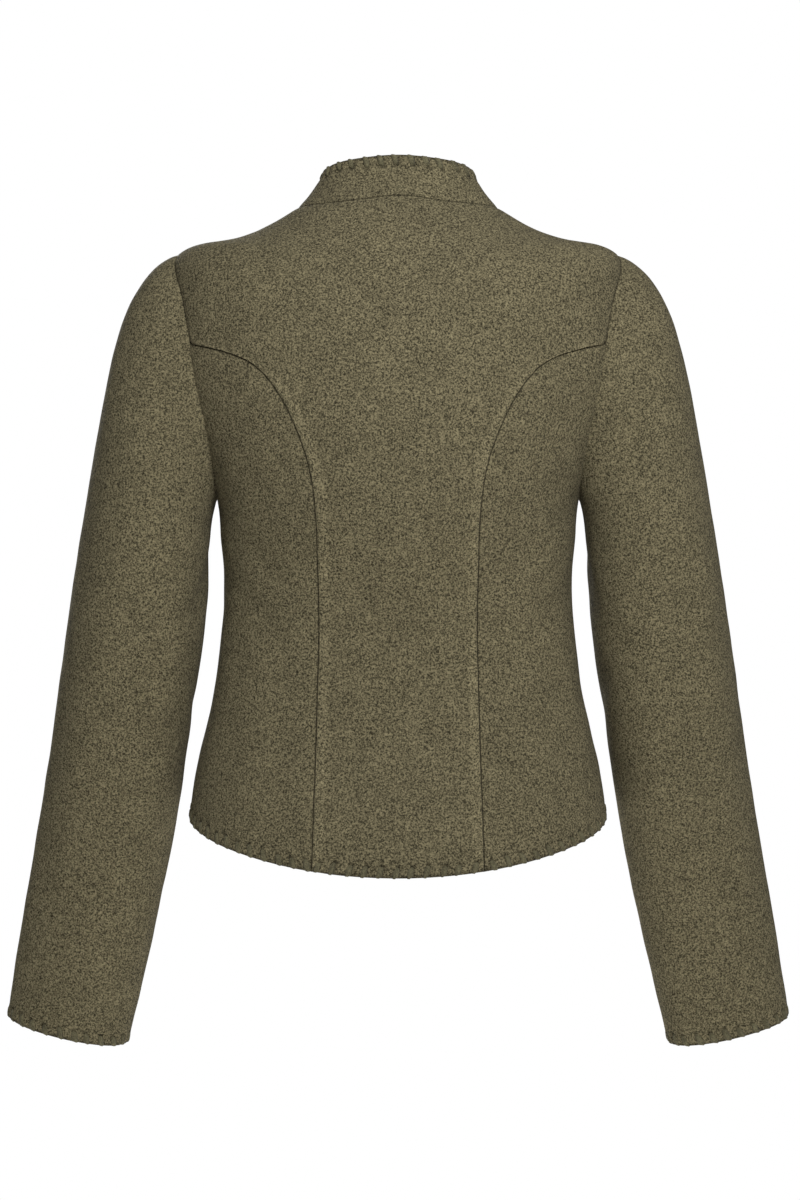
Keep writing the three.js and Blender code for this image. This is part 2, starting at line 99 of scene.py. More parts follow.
# Rounds of the sleeve, from the underarm level to the cuff: inner edge x and z, outer edge x and z,
# y midway between its front and back, half its size from front to back, and the lean in degrees.
SLEEVE_ROUNDS = np.array([
    (153, -262, 257, -246, -5, 61, 1),
    (157, -325, 267.5, -311, -6, 60, 3),
    (170, -420, 280.5, -402, -12, 57, 7),
    (184.7, -510, 295, -490, -27, 50, 10),
    (203.8, -600, 311.5, -580, -42, 44, 10),
    (225, -687, 325.5, -664, -52, 39, 9),
], float)
SLEEVE_SQUARE = 2.15
CAP_SLOPE = (17.0, 72.0)     # below the level at the top and at the underarm
CAP_FLARE = 0.22
CAP_START = (0.215, 0.3)     # handle at the armhole as a part of the chord, top and underarm
CAP_END = (0.53, 0.4)        # handle at the arm, the same

LAP_PAST, LAP_RAMP_FROM, LAP_RAMP_TO = 18.0, 45.0, 23.0
GAP = 0.3
BUTTONS_FROM, BUTTONS_TO, BUTTON_COUNT = 16.0, 352.0, 6    # down the middle front

FAR = 99.0                # a distance that counts as nowhere near
SEAM_CLEAR = 14.0         # creases fade out this close to a seam
FELT_SEED = 7
WAVE_COUNT, WAVE_SHORTEST, WAVE_LONGEST = 26, 14, 80

# How whip stitches press the felt: how far a leg and a hole press each face in, how far the hole
# sinks the whole wall, how high the cloth puffs up between stitches, where that puff is and its
# half width as a way in from the edge, and the least half thickness that is left.
LEG_PRESS, HOLE_PRESS, HOLE_SINK = 0.6, 0.8, 0.5
PUFF, PUFF_AT, PUFF_REACH, THINNEST = 0.5, 4.0, 3.2, 0.3
HOLE_PAST, HOLE_WIDE, HOLE_TALL = 0.9, 2.5, 1.7    # place past the bite, and half widths
LEG_FADE = (-0.5, 1.8)                             # past the bite
# The path of a stitch: way in as a part of the bite, way in added in mm, height over the middle of
# the cloth, and size of the yarn there.
STITCH_PATH = np.array([
    (1.0, 0.3, -0.5, 0.45), (1.0, -0.8, 0.55, 0.75), (0.72, 0.0, 1.0, 0.95), (0.36, 0.0, 1.05, 1.0),
    (0.0, 1.2, 0.9, 0.95), (0.0, 0.35, 0.0, 0.9), (0.0, 1.2, -0.9, 0.8), (0.5, 0.0, -0.9, 0.75),
    (1.0, -0.2, -0.6, 0.6), (1.0, 1.0, 0.1, 0.45),
])
USUAL_PITCH = 12.0        # of the stitches that the lean is given for
DEPTH_ROWS = 40           # rows of a border's grid that hold the deepest stitch
INNER_ROW = 6.0           # row from which a border's outward direction is measured
YARN_SIDES = 6
BUTTON_SIDES = 48

# About how long the pieces are across their grids, in mm, for the number of grid lines.
BACK_WIDE, FRONT_WIDE, SIDE_BACK_LONG, SIDE_BACK_WIDE, COLLAR_LONG = 250, 175, 440, 120, 360
CAP_LONG, SLEEVE_WIDE, ARMHOLE_OF_BACK, ARMHOLE_OF_FRONT = 180, 350, 96, 235

# Soft creases: where each starts and ends on its piece, its height (a trough is
# below nought) and its half width, in mm. Body pieces use the distance from the middle and the
# height; sleeves use the clock angle in degrees, about 1 mm each, and the height.
BACK_CREASES = [
    (-46, -300, -8, -352, -0.8, 17), (30, -305, 44, -372, -0.6, 15), (2, -150, -14, -300, 0.5, 26),
    (-118, -66, -66, -120, -0.6, 14), (110, -62, 76, -126, -0.5, 16), (34, -392, 26, -505, 0.7, 15),
    (-34, -400, -38, -520, 0.8, 14), (-4, -420, -6, -530, -0.6, 14), (60, -30, 20, -62, -0.3, 12),
]
SIDE_CREASES = {
    1: [
        (150, -246, 96, -300, -1.3, 10), (140, -262, 84, -346, 0.9, 12), (146, -300, 104, -330, -0.9, 9),
        (112, -360, 120, -470, 0.9, 14), (92, -372, 96, -500, -0.7, 11), (138, -330, 96, -356, -0.7, 9),
    ],
    -1: [
        (148, -240, 104, -286, -1.0, 11), (138, -268, 90, -330, 0.8, 12), (144, -312, 110, -338, -1.0, 9),
        (104, -366, 114, -480, 0.8, 15), (128, -374, 140, -452, -0.8, 11),
    ],
}
FRONT_CREASES = {
    1: [
        (150, -244, 108, -292, -1.1, 12), (122, -60, 92, -150, -0.7, 16), (40, -330, 92, -348, -0.9, 12),
        (64, -366, 70, -450, 0.8, 14), (112, -372, 122, -440, -0.7, 12), (58, -140, 84, -214, 0.8, 24),
    ],
    -1: [
        (146, -248, 112, -286, -1.0, 12), (116, -66, 96, -142, -0.6, 16), (44, -338, 88, -342, -0.8, 13),
        (58, -372, 62, -448, 0.7, 15), (106, -366, 118, -436, -0.8, 12), (62, -146, 86, -208, 0.7, 24),
    ],
}
SLEEVE_CREASES = {
    1: [
        (196, -262, 152, -330, -1.9, 12), (170, -300, 118, -352, -1.1, 14), (150, -372, 196, -418, -1.6, 12),
        (112, -380, 168, -446, -1.0, 14), (62, -300, 54, -470, 1.0, 18), (96, -330, 88, -540, -1.0, 15),
        (128, -470, 112, -640, 0.9, 14), (36, -420, 44, -610, -0.8, 16), (232, -300, 262, -380, -1.4, 14),
        (252, -400, 236, -520, 1.0, 15), (306, -330, 300, -560, -0.9, 17), (80, -92, 64, -170, -0.9, 16),
        (16, -80, 30, -150, 0.7, 18), (210, -470, 244, -520, -1.3, 12), (180, -560, 150, -640, -0.8, 12),
    ],
    -1: [
        (200, -256, 160, -318, -1.6, 12), (176, -318, 126, -362, -1.2, 13), (156, -384, 204, -432, -1.4, 13),
        (104, -392, 150, -452, -1.1, 13), (56, -280, 50, -440, 0.9, 19), (92, -350, 84, -560, -0.9, 16),
        (124, -480, 108, -630, 0.8, 14), (30, -440, 40, -620, -0.9, 15), (236, -310, 268, -392, -1.3, 14),
        (256, -410, 240, -530, 0.9, 15), (300, -340, 296, -550, -0.8, 17), (76, -100, 62, -176, -0.8, 16),
        (20, -86, 32, -158, 0.6, 18), (214, -480, 248, -534, -1.2, 12),
    ],
}
# The waist dart of each front: distance from the middle at its point, its waist and its end.
DART = np.array([(84, -236), (76, -330), (86, -438)], float)


# ---- settings ----

def number(name, description, default, low, high, **more):
    """A number as a property of a group of settings."""
    return bpy.props.FloatProperty(
        name=name, description=description, default=default, min=low, max=high, **more,
    )


def length(name, description, default, low, high):
    """A length in metres as a property."""
    return number(
        name, description, default, low, high, unit="LENGTH", subtype="DISTANCE", precision=5,
    )


def colour(name, description, hex_code):
    """A colour as a property, from its sRGB hex value."""
    return bpy.props.FloatVectorProperty(
        name=name, description=description, default=linear(hex_code), size=4, min=0, max=1,
        subtype="COLOR",
    )


def linear(hex_code):
    """Linear RGBA of an sRGB hex value: the lowest twenty-fifth is a straight line, and the rest
    is a power of 2.4."""
    parts = [int(hex_code[i:i + 2], 16) / 255 for i in (1, 3, 5)]
    return tuple(p / 12.92 if p <= 0.04045 else ((p + 0.055) / 1.055) ** 2.4 for p in parts) + (1.0,)


class JacketCloth(bpy.types.PropertyGroup):
    wall: length("Cloth thickness", "Thickness of the boiled wool", 0.0025, 0.001, 0.003)
    pitch: length("Grid pitch", "Distance between grid lines on the cloth", 0.0027, 0.0015, 0.01)
    seam_dip: length("Seam dip", "How deep a seam pulls the cloth in", 0.0006, 0.0, 0.002)
    seam_width: length("Seam width", "How far from the seam the dip reaches", 0.0028, 0.0005, 0.006)
    ridge: length("Allowance ridge", "How far a seam allowance lifts the cloth", 0.0011, 0.0, 0.002)
    ridge_width: length("Allowance width", "Width of a seam allowance", 0.0095, 0.004, 0.02)
    unevenness: length("Unevenness", "Height of the soft unevenness of the felt", 0.0003, 0.0, 0.002)
    shade: colour("Shade", "Middle colour of the loden", "#4e4937")
    light_fibre: colour("Light fibre", "Colour of the light hairs", "#8a8164")
    dark_fibre: colour("Dark fibre", "Colour of the dark hairs", "#27241a")


class JacketStitches(bpy.types.PropertyGroup):
    spacing: length("Spacing", "Distance between whip stitches along an edge", 0.0123, 0.006, 0.03)
    bite: length("Bite", "How far into the cloth each stitch goes", 0.0085, 0.004, 0.02)
    yarn_width: length("Yarn width", "Width of the flattened yarn", 0.0052, 0.001, 0.008)
    yarn_height: length("Yarn height", "Height of the flattened yarn", 0.0021, 0.0005, 0.004)
    lean: length("Lean", "How far a stitch leans along the edge", 0.0030, 0.0, 0.01)
    yarn: colour("Yarn", "Colour of the edging yarn", "#68634b")
    seed: bpy.props.IntProperty(
        name="Seed", description="Number that the uneven spacing of the stitches comes from",
        default=5, min=0,
    )


class JacketButtons(bpy.types.PropertyGroup):
    radius: length("Radius", "Radius of a button", 0.010, 0.005, 0.02)
    thickness: length("Thickness", "Thickness of a button", 0.004, 0.002, 0.008)
    rim: length("Rim", "Width of the raised rim", 0.0016, 0.0005, 0.004)
    dish: length("Dish", "Depth of the dished face", 0.001, 0.0, 0.002)
    lift: length("Lift", "Height of a button's back over the cloth", 0.001, 0.0, 0.003)
    hole: length("Hole radius", "Radius of each sewing hole", 0.0011, 0.0005, 0.002)
    hole_apart: length("Hole distance", "Distance of a sewing hole from the middle", 0.0028, 0.001, 0.005)
    horn: colour("Horn", "Middle colour of the horn", "#4a3826")
    horn_dark: colour("Horn streaks", "Colour of the dark streaks in the horn", "#1e150d")


class JacketStage(bpy.types.PropertyGroup):
    camera_away: length("Camera distance", "Distance from the camera to the jacket", 3.0, 0.5, 20)
    camera_height: length("Camera height", "Height of the camera", -0.3194, -2, 2)
    camera_side: length("Camera side step", "How far the camera stands off the middle", -0.0016, -1, 1)
    focal: number("Focal length", "Focal length of the lens in mm", 109.76, 20, 400)
    floor_height: length("Floor height", "Height of the floor", -1.4, -3, -0.8)
    floor_radius: length("Floor radius", "Radius of the floor", 2.5, 1, 10)
    surround: number("Surround", "Brightness of the white surround as it is seen", 1.0, 0, 5)
    fill: number("Fill light", "Strength of the even light that the surround gives", 0.19, 0, 5)
    key_power: number(
        "Key light", "Power of the lamp behind the wearer", 31.5, 0, 2000, unit="POWER",
    )
    front_power: number(
        "Front light", "Power of the lamp before the wearer", 36, 0, 2000, unit="POWER",
    )
    wash_power: number(
        "Floor light", "Power of the lamp that lights only the floor", 85, 0, 2000, unit="POWER",
    )
    floor: colour("Floor", "Colour of the plain floor", "#e9e8e5")


# ---- curves and the body surface ----

def mix(a, b, t):
    """The value a part t of the way from a to b: a + (b - a) * t."""
    return a + (b - a) * t


def smooth_step(low, high, value):
    """Nought below low, one above high, and 3t^2 - 2t^3 between."""
    t = np.clip((value - low) / (high - low), 0, 1)
    return t * t * (3 - 2 * t)


def unit(vectors):
    """Vectors divided by their lengths."""
    return vectors / np.maximum(np.linalg.norm(vectors, axis=-1, keepdims=True), 1e-9)


def chain_lengths(points):
    """Distance along a chain of points, starting at nought."""
    return np.concatenate([[0.0], np.cumsum(np.linalg.norm(np.diff(points, axis=0), axis=1))])


def natural_spline(knots, values):
    """Natural cubic spline through rows of values: its second derivatives solve the tridiagonal
    system of equal slopes at the knots, with none at the two ends."""
    gaps = np.diff(knots)
    slopes = np.diff(values, axis=0) / gaps[:, None]
    inner = np.arange(1, len(knots) - 1)
    system = np.eye(len(knots))
    system[inner, inner - 1] = gaps[:-1]
    system[inner, inner] = 2 * (gaps[:-1] + gaps[1:])
    system[inner, inner + 1] = gaps[1:]
    right = np.zeros_like(values)
    right[inner] = 6 * np.diff(slopes, axis=0)
    bend = np.linalg.solve(system, right)

    def at(where):
        where = np.asarray(where, float)
        i = np.searchsorted(knots[1:-1], where)
        step = gaps[i]
        b = ((where - knots[i]) / step)[..., None]
        a = 1 - b
        curved = ((a ** 3 - a) * bend[i] + (b ** 3 - b) * bend[i + 1]) * (step ** 2 / 6)[..., None]
        return a * values[i] + b * values[i + 1] + curved

    return at


BODY_DROPS = chain_lengths(BODY_ROUNDS[:, [0, 4]])
HEM = BODY_DROPS[-1]
body_round = natural_spline(BODY_DROPS, BODY_ROUNDS)
SLEEVE_DROPS = chain_lengths(SLEEVE_ROUNDS[:, 2:4])
CUFF = SLEEVE_DROPS[-1]
sleeve_round = natural_spline(SLEEVE_DROPS, SLEEVE_ROUNDS)


def round_point(row, turn):
    """A point of one round: a superellipse from above, radius = ((|sin| / wide)^n +
    (|cos| / depth)^n)^(-1/n), at a height that is a sum of four cosines of the turn."""
    wide, back, front, z_back, z_side, z_front, fall, square = np.moveaxis(row, -1, 0)
    sine, cosine = np.sin(turn), np.cos(turn)
    depth = np.where(cosine > 0, back, front)
    radius = ((np.abs(sine) / wide) ** square + (np.abs(cosine) / depth) ** square) ** (-1 / square)
    half_drop, mean = (z_back - z_front) / 2, (z_back + z_front) / 2
    third = (half_drop - fall) / 4
    height = ((mean + z_side) / 2 + (half_drop - third) * cosine
              + (mean - z_side) / 2 * np.cos(2 * turn) + third * np.cos(3 * turn))
    return np.stack([radius * sine, radius * cosine, height], -1)


def body(turn, drop):
    """A point of the body: the round at that drop, at that turn."""
    return round_point(body_round(drop), turn)


def surface_normal(surface, u, v, step_u, step_v, flip):
    """Normal of any surface(u, v): the cross product of its two small differences."""
    along_u = surface(u + step_u, v) - surface(u - step_u, v)
    along_v = surface(u, v + step_v) - surface(u, v - step_v)
    return unit(np.cross(along_u, along_v)) * flip


def body_normal(turn, drop):
    """Outward normal of the body, taken half a millimetre in from its top and bottom edges."""
    return surface_normal(body, turn, np.clip(drop, 0.5, HEM - 0.5), 0.002, 0.5, 1)


def find_on_body(axes, wanted, turn, drop):
    """Turns and drops where the body passes through two wanted coordinates, by Newton's method."""
    for _ in range(30):
        miss = body(turn, drop)[..., axes] - wanted
        p_turn, q_turn = np.moveaxis((body(turn + 1e-4, drop)[..., axes] - wanted - miss) / 1e-4, -1, 0)
        p_drop, q_drop = np.moveaxis((body(turn, drop + 1e-2)[..., axes] - wanted - miss) / 1e-2, -1, 0)
        p, q = np.moveaxis(miss, -1, 0)
        area = p_turn * q_drop - p_drop * q_turn
        turn = turn - np.clip((p * q_drop - q * p_drop) / area, -0.2, 0.2)
        drop = drop - np.clip((p_turn * q - q_turn * p) / area, -25, 25)
    return turn, drop


ARMHOLE_MIDDLE = (ARMHOLE_TOP + ARMHOLE_BOTTOM) / 2
ARMHOLE_HALF = (ARMHOLE_TOP - ARMHOLE_BOTTOM) / 2


def armhole(clock):
    """Places of the armhole seam at clock angles: an oval seen from the side, from the shoulder
    point by the back to the underarm."""
    clock = np.asarray(clock, float)
    reach = np.where(np.sin(clock) > 0, ARMHOLE_BACK, ARMHOLE_FRONT)
    wanted = np.stack([reach * np.sin(clock), ARMHOLE_MIDDLE + ARMHOLE_HALF * np.cos(clock)], -1)
    guess = BODY_DROPS[SHOULDER_POINT] + (ARMHOLE_TOP - wanted[..., 1]) * 1.05
    return find_on_body([1, 2], wanted, SIDE - wanted[..., 0] / 190, guess)


SHOULDER_END = float(armhole(0.0)[1])
UNDERARM = float(armhole(HALF_TURN)[1])
SEAM_CLOCK = math.acos((BACK_SEAM[0, 1] - ARMHOLE_MIDDLE) / ARMHOLE_HALF)


def back_seam_curve():
    """The curved back seam as a spline of places by length along it, and that length."""
    x, z = BACK_SEAM[:, 0], BACK_SEAM[:, 1]
    turn, drop = find_on_body([0, 2], BACK_SEAM, np.arctan2(x, 90), HEM * (0.06 - z / 590))
    turn[0], drop[0] = armhole(SEAM_CLOCK)
    drop[-1] = HEM
    knots = chain_lengths(body(turn, drop))
    return natural_spline(knots, np.stack([turn, drop], -1)), knots[-1]


back_seam_at, BACK_SEAM_LENGTH = back_seam_curve()


def back_seam(part):
    """Turn and drop of the curved back seam, a part 0 to 1 of the way down it."""
    return np.moveaxis(back_seam_at(np.asarray(part) * BACK_SEAM_LENGTH), -1, 0)


CORNER = np.array([0.0])                                   # grid lines at a place with no edge
CUT = np.array([0, 0.22, 0.55, 1.0, 1.6, 2.5])             # at a cut edge, where the cloth rolls over
STITCHED = np.concatenate([CUT, np.arange(3.6, 13, 1.2)])  # at a whip-stitched edge


def grid_lines(span, pitch, start=CUT, end=CUT):
    """Parts 0 to 1 of a span in mm: a pitch apart, and closer together at its start and end."""
    end = span - end[::-1]
    count = max(2, round((end[0] - start[-1]) / pitch))
    middle = np.linspace(start[-1], end[0], count + 1)[1:-1]
    return np.concatenate([start, middle, end]) / span


def join(*stretches):
    """Stretches of places joined end to end, each without its first place but the first."""
    turns = [s[0][1 if i else 0:] for i, s in enumerate(stretches)]
    drops = [s[1][1 if i else 0:] for i, s in enumerate(stretches)]
    return np.concatenate(turns), np.concatenate(drops)


# ---- cloth ----

def creases(a, b, table, period=None):
    """Height of the soft creases at chart coordinates a and b: each row adds its height times
    e^-(distance to its line / its half width)^2."""
    height = np.zeros_like(a)
    for a0, b0, a1, b1, tall, wide in table:
        from_a, from_b = a - a0, b - b0
        if period:
            from_a = (from_a + period / 2) % period - period / 2
        run_a, run_b = a1 - a0, b1 - b0
        part = np.clip((from_a * run_a + from_b * run_b) / (run_a ** 2 + run_b ** 2), 0, 1)
        away = (from_a - part * run_a) ** 2 + (from_b - part * run_b) ** 2
        height += tall * np.exp(-away / wide ** 2)
    return height


def felt_waves(points, seed):
    """Soft unevenness of felted cloth, from -1 to 1: a sum of sines in seeded directions, with
    wavelengths from 14 to 80 mm."""
    rng = np.random.default_rng(seed)
    waves = rng.normal(size=(WAVE_COUNT, 3))
    span = rng.uniform(WAVE_SHORTEST, WAVE_LONGEST, WAVE_COUNT)
    waves *= (2 * math.pi / span / np.linalg.norm(waves, axis=1))[:, None]
    phases = rng.uniform(0, 2 * math.pi, WAVE_COUNT)
    return np.sin(points @ waves.T + phases).sum(-1) / WAVE_COUNT ** 0.5 / 1.6


def ways_in(points, wrap):
    """Distance along the cloth from every grid point to the four borders, as sums of the grid's
    steps. A wrapped grid has no left or right border."""
    down = np.linalg.norm(np.diff(points, axis=0), axis=-1)
    top = np.concatenate([np.zeros((1, points.shape[1])), np.cumsum(down, axis=0)])
    far = {"top": top, "bottom": top[-1] - top}
    if not wrap:
        across = np.linalg.norm(np.diff(points, axis=1), axis=-1)
        left = np.concatenate([np.zeros((points.shape[0], 1)), np.cumsum(across, axis=1)], axis=1)
        # A row meets a slanting edge at an angle, and the way straight in is shorter by its sine.
        for side, way in (("left", left), ("right", left[:, -1:] - left)):
            edge, inner = (points[:, i] for i in ((0, 3) if side == "left" else (-1, -4)))
            straight = np.cross(unit(inner - edge), unit(np.gradient(edge, axis=0)))
            slant = np.linalg.norm(straight, axis=-1)
            far[side] = way * mix(np.clip(slant, 0.3, 1)[:, None], 1, smooth_step(10, 40, way))
    return far


def turned(grid, side):
    """A grid seen from one of its borders: row 0 is the border, and rows go into the cloth."""
    if side in ("left", "right"):
        grid = np.swapaxes(grid, 0, 1)
    return grid[::-1] if side in ("bottom", "right") else grid


def lay_stitches(span, closed, stitches, seed, hand):
    """Whip stitches along a border: evenly spaced, each moved and deepened a little by the seeded
    numbers. Lengths in mm."""
    rng = np.random.default_rng(stitches.seed + seed)
    count = max(2, round(span / (stitches.spacing / MM)))
    pitch = span / count
    centres = (np.arange(count) + 0.5 + rng.uniform(-0.09, 0.09, count)) * pitch
    bites = stitches.bite / MM * rng.uniform(0.88, 1.14, count)
    return {
        "span": span, "closed": closed, "count": count, "pitch": pitch, "centres": centres,
        "bites": bites, "lean": hand * stitches.lean / MM,
        "widths": rng.uniform(0.86, 1.12, count), "heights": rng.uniform(0.85, 1.15, count),
    }


def press_of_stitches(along, inward, row, reach):
    """How the stitches of a border press the cloth, for grid points at a distance along it and a
    way in from it: (pressed, hole). Both are soft bells, e^-(distance / reach)^2, one across the
    whole stitch and one round its hole."""
    nearest = np.floor(along / row["pitch"]).astype(int)
    pressed, hole = np.zeros_like(along), np.zeros_like(along)
    for step in (-1, 0, 1):
        number = nearest + step
        number = number % row["count"] if row["closed"] else np.clip(number, 0, row["count"] - 1)
        bite = row["bites"][number]
        off_hole = along - row["centres"][number]
        if row["closed"]:
            off_hole = (off_hole + row["span"] / 2) % row["span"] - row["span"] / 2
        off_leg = off_hole - row["lean"] * (1 - inward / bite)
        fade = 1 - smooth_step(bite + LEG_FADE[0], bite + LEG_FADE[1], inward)
        pressed = np.maximum(pressed, np.exp(-(off_leg / reach) ** 2) * fade)
        past = (inward - bite - HOLE_PAST) / HOLE_TALL
        hole = np.maximum(hole, np.exp(-(off_hole / HOLE_WIDE) ** 2 - past ** 2))
    return pressed, hole


def cloth_wall(points, normals, settings, stitches, borders, seams, relief, wrap=False, seed=0,
               hand=1):
    """The two faces of a wall of cloth from a grid of its outer face, and what is needed to sew on
    it. borders are the whip-stitched ones, and seams gives the strength of each sewn one. Both
    faces move out by the relief, which fades to nothing at a seam, and in at a seam by
    dip * strength * e^-(way in / width)^2. At each border the wall closes on a quarter of an
    ellipse: half thickness = half wall * sqrt(1 - (1 - way in / radius)^2)."""
    half = settings.wall / MM / 2
    far = ways_in(points, wrap)
    rounding = {side: 0.5 if side in seams else half * 1.05 for side in far}
    nearest = np.minimum.reduce([np.minimum(far[side] / rounding[side], 1) for side in far])
    thick = half * np.sqrt(np.clip(1 - (1 - nearest) ** 2, 0, 1))
    # The material paints shade on the felt where this distance is under 1: along seams, in holes,
    # beside the legs of stitches and at the edges that they are laid over.
    painted_shade_distance = np.full_like(nearest, FAR)
    height = settings.unevenness / MM * felt_waves(points, FELT_SEED)
    for side, strength in seams.items():
        relief = relief * smooth_step(0, SEAM_CLEAR, far[side])
        height = height - settings.seam_dip / MM * strength * np.exp(
            -(far[side] / (settings.seam_width / MM)) ** 2)
        painted_shade_distance = np.minimum(painted_shade_distance, far[side] + (1 - strength) * 1.1)
    height = height + relief
    rows = {}
    for number, side in enumerate(borders):
        edge = turned(points, side)[0]
        closed = wrap and side in ("top", "bottom")
        if closed:
            edge = np.concatenate([edge, edge[:1]])
        lengths = chain_lengths(edge)
        rows[side] = lay_stitches(lengths[-1], closed, stitches, seed + 11 * number, hand)
        along = lengths[:-1] if closed else lengths
        along = along[None, :] if side in ("top", "bottom") else along[:, None]
        along = np.broadcast_to(along, nearest.shape)
        pressed, hole = press_of_stitches(along, far[side], rows[side], stitches.yarn_width / MM * 0.6)
        bulge = (1 - pressed) * np.exp(-((far[side] - PUFF_AT) / PUFF_REACH) ** 2)
        flattened = np.maximum(thick - LEG_PRESS * pressed - HOLE_PRESS * hole, THINNEST)
        thick = np.minimum(thick, flattened) + PUFF * bulge * smooth_step(0, 1, nearest)
        height = height - HOLE_SINK * hole
        # Painted shade round each hole, beside each leg and in a band along the stitched edge.
        painted_shade_distance = np.minimum.reduce([
            painted_shade_distance, 1.25 * (1 - hole), 1.1 - 0.8 * pressed, 0.18 + far[side] / 4.8,
        ])
    middle = points + normals * (height - half)[..., None]
    return {"middle": middle, "normals": normals, "thick": thick, "wrap": wrap, "rows": rows,
            "painted_shade_distance": painted_shade_distance, "dart_shade_distance": np.full_like(painted_shade_distance, FAR),
            "raised": np.zeros_like(painted_shade_distance)}


def add_mesh(name, points, faces, material):
    """A mesh object from points in mm and arrays of faces, all turned round if the enclosed
    volume, a sixth of the sum of triple products, comes out below nought."""
    fans = np.concatenate([f[:, [0, i, i + 1]] for f in faces for i in range(1, f.shape[1] - 1)])
    a, b, c = (points[fans[:, i]] for i in range(3))
    if np.einsum("ij,ij->", a, np.cross(b, c)) < 0:
        faces = [f[:, ::-1] for f in faces]
    mesh = bpy.data.meshes.new(name)
    mesh.from_pydata((points * MM).tolist(), [], [face for f in faces for face in f.tolist()])
    mesh.validate()
    mesh.shade_smooth()
    mesh.materials.append(material)
    piece = bpy.data.objects.new(name, mesh)
    bpy.context.scene.collection.objects.link(piece)
    return piece


def grid_faces(ids):
    """Quads between neighbouring rows and columns of a grid of vertex numbers."""
    return np.stack([ids[:-1, :-1], ids[1:, :-1], ids[1:, 1:], ids[:-1, 1:]], -1).reshape(-1, 4)


def add_cloth(name, wall, settings):
    """A closed piece of cloth: outer face = middle + normal * half thickness, inner face =
    middle - normal * half thickness, and one shared row of points along each border."""
    thick = wall["thick"][..., None]
    outer = wall["middle"] + wall["normals"] * thick
    inner = wall["middle"] - wall["normals"] * thick
    shared = np.zeros(wall["thick"].shape, bool)
    shared[[0, -1]] = True
    if not wall["wrap"]:
        shared[:, [0, -1]] = True
    outer_ids = np.arange(shared.size).reshape(shared.shape)
    inner_ids = np.where(shared, outer_ids, shared.size + np.cumsum(~shared).reshape(shared.shape) - 1)
    if wall["wrap"]:
        outer_ids = np.concatenate([outer_ids, outer_ids[:, :1]], axis=1)
        inner_ids = np.concatenate([inner_ids, inner_ids[:, :1]], axis=1)
    points = np.concatenate([outer.reshape(-1, 3), inner[~shared]])
    faces = [grid_faces(outer_ids), grid_faces(inner_ids)[:, ::-1]]
    loden = the_material("boiled wool loden", loden_material, settings)
    piece = add_mesh(f"loden_{name}", points, faces, loden)
    for key in ("painted_shade_distance", "dart_shade_distance", "raised"):
        values = np.concatenate([wall[key].ravel(), wall[key][~shared]]).astype(np.float32)
        piece.data.attributes.new(key, "FLOAT", "POINT").data.foreach_set("value", values)
    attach(piece, "root")
    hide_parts(name)
    return piece


def reading(grid, row, column):
    """Values of a grid at fractional rows and columns, straight lines between its points."""
    i = np.clip(row.astype(int), 0, grid.shape[0] - 2)
    j = np.clip(column.astype(int), 0, grid.shape[1] - 2)
    u, v = (row - i)[..., None], (column - j)[..., None]
    return mix(mix(grid[i, j], grid[i + 1, j], u), mix(grid[i, j + 1], grid[i + 1, j + 1], u), v)


def add_stitches(name, wall, side, stitches):
    """Whip stitches along one border. Each is a closed loop of flattened yarn carried along a path
    in the plane of (way in, height over the middle of the cloth): out of its hole, along the outer
    face, round the edge and back along the inner face. Its ring = centre + across * half width *
    cos + up * half height * sin."""
    row = wall["rows"][side]
    middle, normals = turned(wall["middle"], side), turned(wall["normals"], side)
    if row["closed"]:
        middle = np.concatenate([middle, middle[:, :1]], axis=1)
        normals = np.concatenate([normals, normals[:, :1]], axis=1)
    lengths = chain_lengths(middle[0])
    depths = ways_in(middle, True)["top"]
    share, added, tall, size = STITCH_PATH.T
    way_in = row["bites"][:, None] * share + added
    up = np.broadcast_to(tall, way_in.shape)
    # Where each point of the path lies: along the border, then as a column and a row of the grid.
    swing = np.linspace(0, 2, len(STITCH_PATH)) * row["lean"]
    along = row["centres"][:, None] + swing * row["pitch"] / USUAL_PITCH
    if row["closed"]:
        along = along % row["span"]
    along = np.clip(along * lengths[-1] / row["span"], 0, lengths[-1])
    column = np.interp(along, lengths, np.arange(len(lengths)))
    inside = np.maximum(way_in, 0)
    table = depths[:DEPTH_ROWS, np.rint(column).astype(int)]
    rank = np.clip((table <= inside).sum(axis=0) - 1, 0, DEPTH_ROWS - 2)
    low = np.take_along_axis(table, rank[None], 0)[0]
    high = np.take_along_axis(table, rank[None] + 1, 0)[0]
    at_row = rank + np.clip((inside - low) / np.maximum(high - low, 1e-6), 0, 1)
    base, normal = reading(middle, at_row, column), unit(reading(normals, at_row, column))
    edge, inner = (reading(middle, np.full_like(at_row, i), column) for i in (0.0, INNER_ROW))
    outward = unit(edge - inner)
    centre = base + outward * np.maximum(-way_in, 0)[..., None] + normal * up[..., None]
    # The flat side of the yarn faces away from the path's plane curve.
    flat_x, flat_y = np.gradient(-way_in, axis=1), np.gradient(up, axis=1)
    rise = unit(outward * -flat_y[..., None] + normal * flat_x[..., None])
    tangent = unit(np.gradient(centre, axis=1))
    across = unit(np.cross(tangent, rise))
    rise = unit(np.cross(across, tangent))
    wide = stitches.yarn_width / MM / 2 * row["widths"][:, None] * size
    tall = stitches.yarn_height / MM / 2 * row["heights"][:, None] * size
    return add_tubes(name, rings_round(centre, across * wide[..., None], rise * tall[..., None]))


def rings_round(centre, across, rise):
    """Six-sided rings of points round a line: centre + across * cos + rise * sin."""
    angles = (np.arange(YARN_SIDES) * 2 * math.pi / YARN_SIDES)[:, None]
    return (centre[..., None, :] + across[..., None, :] * np.cos(angles)
            + rise[..., None, :] * np.sin(angles))


